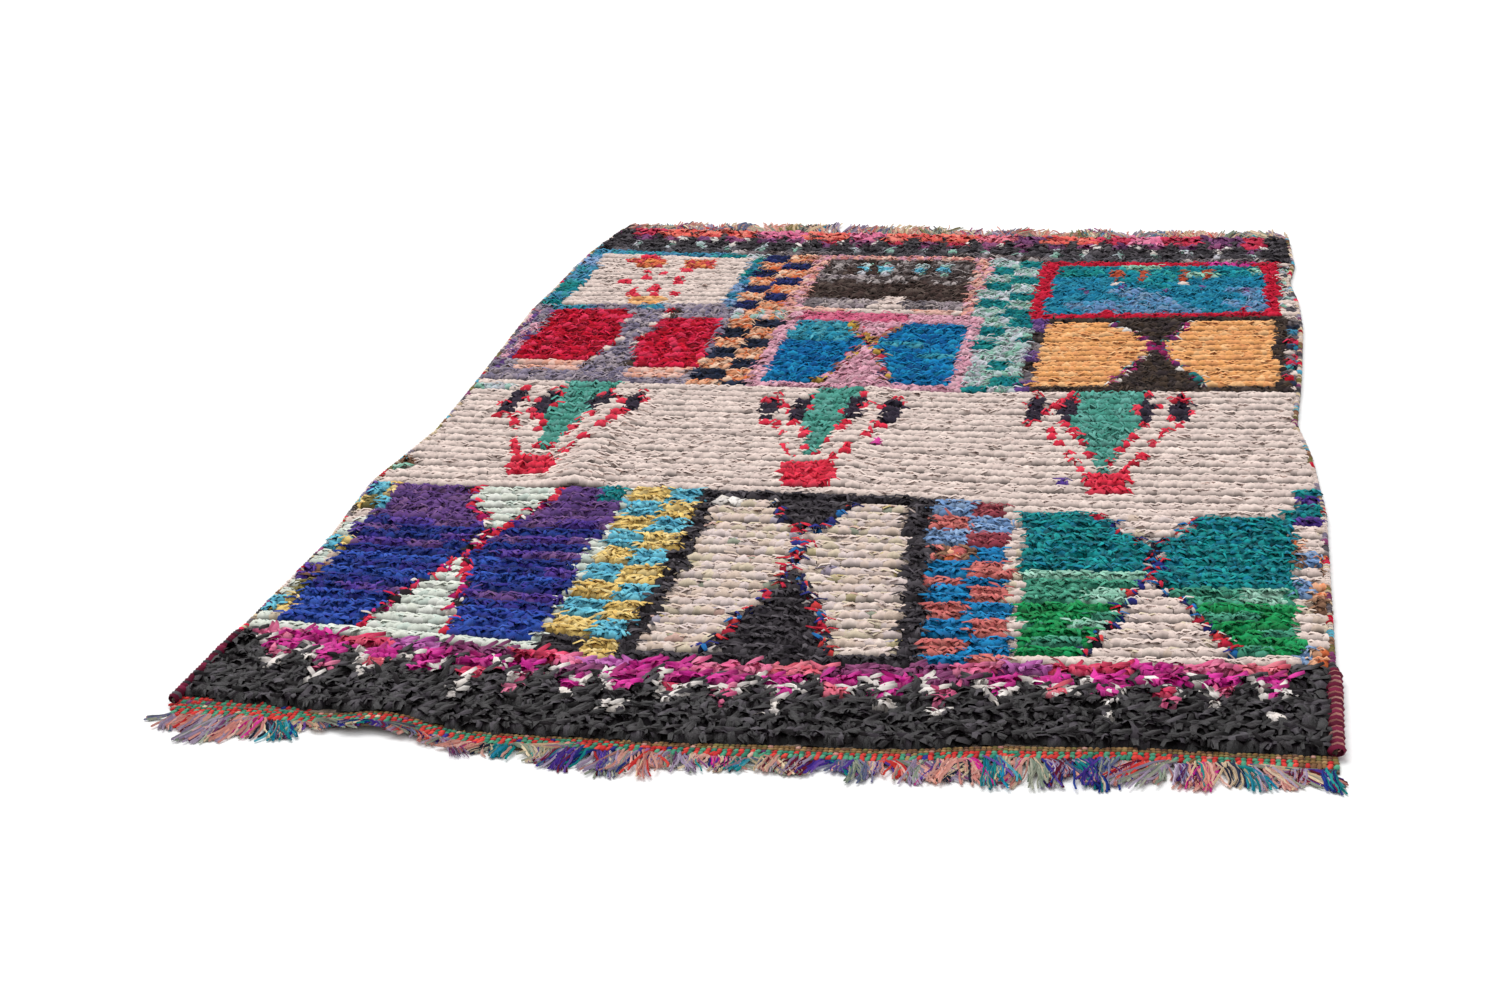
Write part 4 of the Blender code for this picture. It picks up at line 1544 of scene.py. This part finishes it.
# %% [markdown]
# ## The overcast cords
#
# Down each side the last warps are bound together into a cord by a yarn sewn over
# and over. The core is a curve with a round bevel, turned into a mesh. The turns of
# yarn are rings set aslant along it, a little apart, so that the core shows between.
# At the near ends they are broad and wine red, with a thin pale turn between two on
# the right. Farther on the cord is thin, in odd lengths of whatever yarn there was.

# %% Overcast the sides
CORE_WIDTH = 0.0070
WRAP_PITCH = 0.0088
WRAP_RING = 0.0042
WRAP_YARN = 0.0014
CORD_POINTS = 33
BOUND_TO = -1.08
BOUND_FADE = 0.02
LEFT_BOUND = 0.45


def wrap_shape():
    deselect()
    bpy.ops.mesh.primitive_torus_add(
        major_segments=8, minor_segments=3, major_radius=WRAP_RING, minor_radius=WRAP_YARN,
        rotation=(radians(90.0), 0.0, 0.0), generate_uvs=True)
    bpy.ops.object.transform_apply(location=True, rotation=True, scale=True)
    return read_shape(bpy.context.object, tube=False)


WRAP = [wrap_shape()]
EDGE_BITS = (
    "cream", "brown", "charcoal", "beige", "lavender", "olive", "grey", "cream",
    "turquoise", "plum", "crimson",
)
PALE_SHARE = 0.15
BIT_LENGTH = 0.028


def cord_line(side, shares):
    middle = (1.0 - shares) * NEAR_END[0].pile + shares * FAR_END[0].pile
    x = (left_edge(middle) if side < 0 else right_edge(middle)) + side * (GAP + CORD_WIDTH / 2.0)
    near, far = between(NEAR_END, "pile", "x", x), between(FAR_END, "pile", "x", x)
    y = (1.0 - shares) * near + shares * far
    return x, y, lift(x, y) + WRAP_RING + WRAP_YARN + LOWEST


def edge_dye(side, y, number, rng):
    if y < BOUND_TO:
        names = ("yarn_wine", "soft_black", "yarn_wine", "yarn_wine")
        return "yarn_blush" if side > 0 and number % 2 else names[number % len(names)]
    if rng.random() < PALE_SHARE:
        return "yarn_cream"
    return turn(EDGE_BITS, round(y / BIT_LENGTH), side + 2)


def side_cord(name, side, rng):
    shares = np.linspace(0.001, 0.999, CORD_POINTS)
    curve = bpy.data.curves.new(name, "CURVE")
    curve.dimensions = "3D"
    curve.bevel_depth = CORE_WIDTH / 2.0
    curve.bevel_resolution = 1
    curve.use_fill_caps = True
    spline = curve.splines.new("POLY")
    spline.points.add(CORD_POINTS - 1)
    for point, spot in zip(spline.points, zip(*cord_line(side, shares))):
        point.co = (*spot, 1.0)
    core = bpy.data.objects.new(name, curve)
    bpy.context.scene.collection.objects.link(core)
    deselect()
    core.select_set(True)
    bpy.context.view_layer.objects.active = core
    bpy.ops.object.convert(target="MESH")
    bpy.ops.object.mode_set(mode="EDIT")
    bpy.ops.mesh.select_all(action="SELECT")
    bpy.ops.mesh.remove_doubles(threshold=0.00001)
    bpy.ops.mesh.normals_make_consistent(inside=False)
    bpy.ops.object.mode_set(mode="OBJECT")
    core.data.materials.append(ground.data.materials[0])

    count = int((FAR_END[0].pile - NEAR_END[0].pile) / WRAP_PITCH)
    x, y, z = cord_line(side, (np.arange(count) + 0.5) / count)
    names = [edge_dye(side, place, number, rng) for number, place in enumerate(y)]
    colour, gloss = dyed(names, rng)
    bound = np.interp(y, (BOUND_TO - BOUND_FADE, BOUND_TO + BOUND_FADE), (1.0, 0.0))
    bound = bound * (1.0 if side > 0 else LEFT_BOUND)
    pale = np.array([name == "yarn_blush" for name in names])
    broad = bound * np.where(pale, -1.35, 3.5)
    proud = bound * np.where(pale, rng.uniform(-0.34, -0.12, count), 0.0)
    scale = np.stack([rng.uniform(0.95, 1.1, count) + bound * rng.uniform(0.75, 0.95, count) + proud,
                      np.maximum(rng.uniform(1.2, 2.2, count) + broad, 0.2),
                      rng.uniform(0.9, 1.0, count) + 0.5 * bound + proud], -1)
    z = z + 0.5 * bound * (WRAP_RING + WRAP_YARN)
    x = x + side * 0.0025 * bound
    yaw = rng.normal(side * radians(24.0), radians(11.0), count) * (1.0 - 0.45 * bound)
    copies = Copies(np.stack([x, y, z], -1), yaw, np.zeros(count), scale, np.zeros(count, int), colour, gloss)
    return core, stamp(name + "_wraps", WRAP, copies, YARN, rng)


left_core, left_wraps = side_cord("cord_left", -1, np.random.default_rng(31))
right_core, right_wraps = side_cord("cord_right", 1, np.random.default_rng(32))

# %% [markdown]
# ## The fringes
#
# Beyond each band hang the cut warps and the tails of the twining, in bundles. They
# are yarn, thin and crimped, and have dropped to the floor. A yarn end is a long thin
# tube bent at random at each joint. A bundle starts close together and spreads out,
# and its yarns share two dyes, with a stray one here and there. The near left corner
# is raked to the side, and a stretch beside it has almost worn away. Toward a corner
# the yarns are turned in, so that none reaches far past the side: a shape's own slant
# is taken off before its lean is limited.

# %% Lay the fringes
YARN_SPANS = 5
YARN_FORM = Form(0.0033, 0.0033, 0.060, (1.0, 1.10, 0.85), (78.0, 93.0, 90.0), 24.0, 8.0)
TANGLED_FROM = -0.25
RAKE_FROM = -0.42
RAKE_FULL = -0.68
RAKE = 30.0
BARE = ((-0.535, -0.500, -0.400, -0.350), (1.0, 0.35, 0.35, 1.0))
CORNER_REACH = 0.06
CORNER_ROOM = 0.012
STRAY = 0.22
SECOND_SHARE = 0.40
NEAR_SWING = 22.0
FAR_SWING = 13.0
FAR_REACH = 0.76
yarn_draws = np.random.default_rng(41)
YARN_ENDS = scraps(YARN_FORM, YARN_SPANS, 14, yarn_draws, uneven=0.03)
LOCK_DYES = (
    ("yarn_sage", "yarn_slate"), ("yarn_blush", "magenta"), ("yarn_wine", "purple"),
    ("yarn_sage", "yarn_lilac"), ("yarn_blush", "yarn_cream"), ("yarn_lilac", "yarn_blush"),
    ("yarn_cream", "navy"), ("royal", "deep_teal"), ("yarn_lilac", "violet"), ("yarn_sage", "yarn_cream"),
    ("twine_red", "yarn_blush"), ("deep_teal", "sea_blue"), ("purple", "yarn_slate"),
    ("yarn_blush", "peach"), ("yarn_lilac", "yarn_wine"), ("yarn_blush", "yarn_lilac"),
    ("yarn_cream", "yarn_sage"),
)
FAR_LOCK_DYES = (
    ("yarn_blush", "yarn_cream"), ("yarn_lilac", "yarn_sage"), ("yarn_cream", "charcoal"),
    ("yarn_blush", "yarn_sage"), ("yarn_cream", "yarn_lilac"), ("peach", "yarn_blush"),
    ("yarn_blush", "twine_red"), ("yarn_sage", "frame_blue"), ("yarn_cream", "yarn_blush"),
    ("yarn_lilac", "yarn_blush"), ("yarn_sage", "olive"), ("yarn_slate", "yarn_cream"),
    ("yarn_blush", "plum"),
)


def tip_slant(made):
    """How far to the side a shape's own tip lies, in degrees."""
    tip = made.points[np.argmin(made.points[:, 1])]
    return degrees(atan2(tip[0], -tip[1]))


def fringe(which, end, outward, locks, yarns, rng):
    """Locks of yarn: the yarns of a lock share one path, so they run side by side."""
    left, right_side = end_span(end)
    pitch = (right_side - left) / locks
    count = locks * yarns
    lock = np.repeat(np.arange(locks), yarns)
    spread = np.tile((np.arange(yarns) + 0.5) / yarns - 0.5, locks) + rng.normal(0.0, 0.06, count)
    x = left + (lock + 0.5) * pitch + 1.4 * spread * pitch
    x = np.clip(x, left + (CORNER_CUT if outward < 0 else 0.004), right_side - 0.004)
    band, tips = between(end, "band", "x", x), between(end, "tips", "x", x)
    y = band - outward * 0.0025
    rise = rng.uniform(0.0, 0.0060, count) * rng.random(locks)[lock]
    z = lift(x, y) + 0.0024 + rise
    reach = abs(tips - band) * rng.uniform(0.75, 1.15, locks)[lock] * rng.uniform(0.82, 1.06, count)
    tangled = np.interp(x, (RAKE_FROM, TANGLED_FROM), (0.25, 1.0)) if outward < 0 else 1.0
    swing = NEAR_SWING if outward < 0 else FAR_SWING
    lean = tangled * rng.normal(0.0, swing, locks)[lock] - 16.0 * spread + rng.normal(0.0, 8.0, count)
    shape = (rng.integers(len(YARN_ENDS), size=locks)[lock] + (rng.random(count) < 0.15)) % len(YARN_ENDS)
    slant = np.array([tip_slant(made) for made in YARN_ENDS])[shape]
    shift = -outward * reach * np.sin(np.radians(lean + slant))
    shift = np.clip(x + shift, left - 0.004, np.maximum(right_side - CORNER_ROOM, x)) - x
    lean = np.degrees(np.arcsin(-outward * shift / reach)) - slant
    if outward > 0:
        reach = FAR_REACH * reach
    else:
        worn = np.interp(x, (left, left + CORNER_REACH, RAKE_FROM, TANGLED_FROM), (0.34, 0.82, 0.82, 1.0))
        reach = reach * np.interp(x, *BARE) * worn
        rake = RAKE * np.interp(x, (RAKE_FULL, RAKE_FROM), (1.0, 0.0))
        lean = lean - rake
        reach = reach / np.cos(np.radians(0.8 * rake))
    yaw = np.radians(lean) + (pi if outward > 0 else 0.0)
    choice = LOCK_DYES if outward < 0 else FAR_LOCK_DYES
    pairs = [choice[(number * 5) % len(choice)] for number in lock]
    pairs = [choice[rng.integers(len(choice))] if rng.random() < STRAY else pair for pair in pairs]
    colour, gloss = dyed([pair[int(rng.random() < SECOND_SHARE)] for pair in pairs], rng)
    scale = np.stack([rng.uniform(0.8, 1.2, count), reach / 0.052, 0.9 * np.ones(count)], -1)
    pitch_down = (rise + rng.uniform(-0.0004, 0.0014, count)) / reach
    copies = Copies(np.stack([x, y, z], -1), yaw, pitch_down, scale, shape, colour, gloss)
    return stamp("fringe_yarns_" + which, YARN_ENDS, copies, YARN, rng)


near_fringe = fringe("near", NEAR_END, -1, 84, 16, np.random.default_rng(51))
far_fringe = fringe("far", FAR_END, 1, 60, 12, np.random.default_rng(52))

# %% [markdown]
# ## Floor and light
#
# The rug lies on a plain pale floor. A white sky all round fills the shadows, and one
# soft sun from beyond the far left corner shades the near side of every row.

# %% Set the floor and the light
SKY_POWER = 0.80
SUN_POWER = 1.9
SUN_WIDTH = radians(35.0)
SUN_FROM = (-0.40, 0.70, 1.0)

deselect()
bpy.ops.mesh.primitive_plane_add(size=40.0, location=(0.0, 4.0, -0.0006))
floor = bpy.context.object
floor.name = "floor"
floor_material = bpy.data.materials.new("floor")
floor_material.use_nodes = True
floor_shader = floor_material.node_tree.nodes["Principled BSDF"]
floor_shader.inputs["Base Color"].default_value = (0.90, 0.90, 0.90, 1.0)
floor_shader.inputs["Roughness"].default_value = 0.9
floor.data.materials.append(floor_material)

world = bpy.data.worlds.new("studio")
bpy.context.scene.world = world
world.use_nodes = True
world.node_tree.nodes["Background"].inputs["Color"].default_value = (1.0, 1.0, 1.0, 1.0)
world.node_tree.nodes["Background"].inputs["Strength"].default_value = SKY_POWER

sun = bpy.data.lights.new("sun", "SUN")
sun.energy = SUN_POWER
sun.angle = SUN_WIDTH
sun_holder = bpy.data.objects.new("sun", sun)
sun_holder.rotation_euler = Vector(SUN_FROM).to_track_quat("Z", "Y").to_euler()
bpy.context.scene.collection.objects.link(sun_holder)
bpy.context.scene.view_settings.view_transform = "Standard"
print("floor and lights are set")

# %% [markdown]
# ## Finishing up
#
# Every piece rides on the rug's one body. All the rest is sewn or knotted to the
# ground cloth.

# %% Attach the pieces and finish
cloth = {
    "rag_pile": pile + [ground],
    "twined_band": [near_twining, near_strip, far_twining, far_strip],
    "overcast_cord": [left_core, left_wraps, right_core, right_wraps],
    "warp_fringe": [near_fringe, far_fringe],
}
for slot, pieces in cloth.items():
    for piece in pieces:
        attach(piece, "root")
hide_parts("rug_field")
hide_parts("end_band_near")
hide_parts("end_band_far")
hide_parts("side_cord_left")
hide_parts("side_cord_right")
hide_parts("fringe_near")
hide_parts("fringe_far")
trimmings = [piece for pieces in cloth.values() for piece in pieces if piece is not ground]
total = sum(sum(len(face.vertices) - 2 for face in piece.data.polygons) for piece in trimmings + [ground])
print("the whole rug has", total, "triangles")
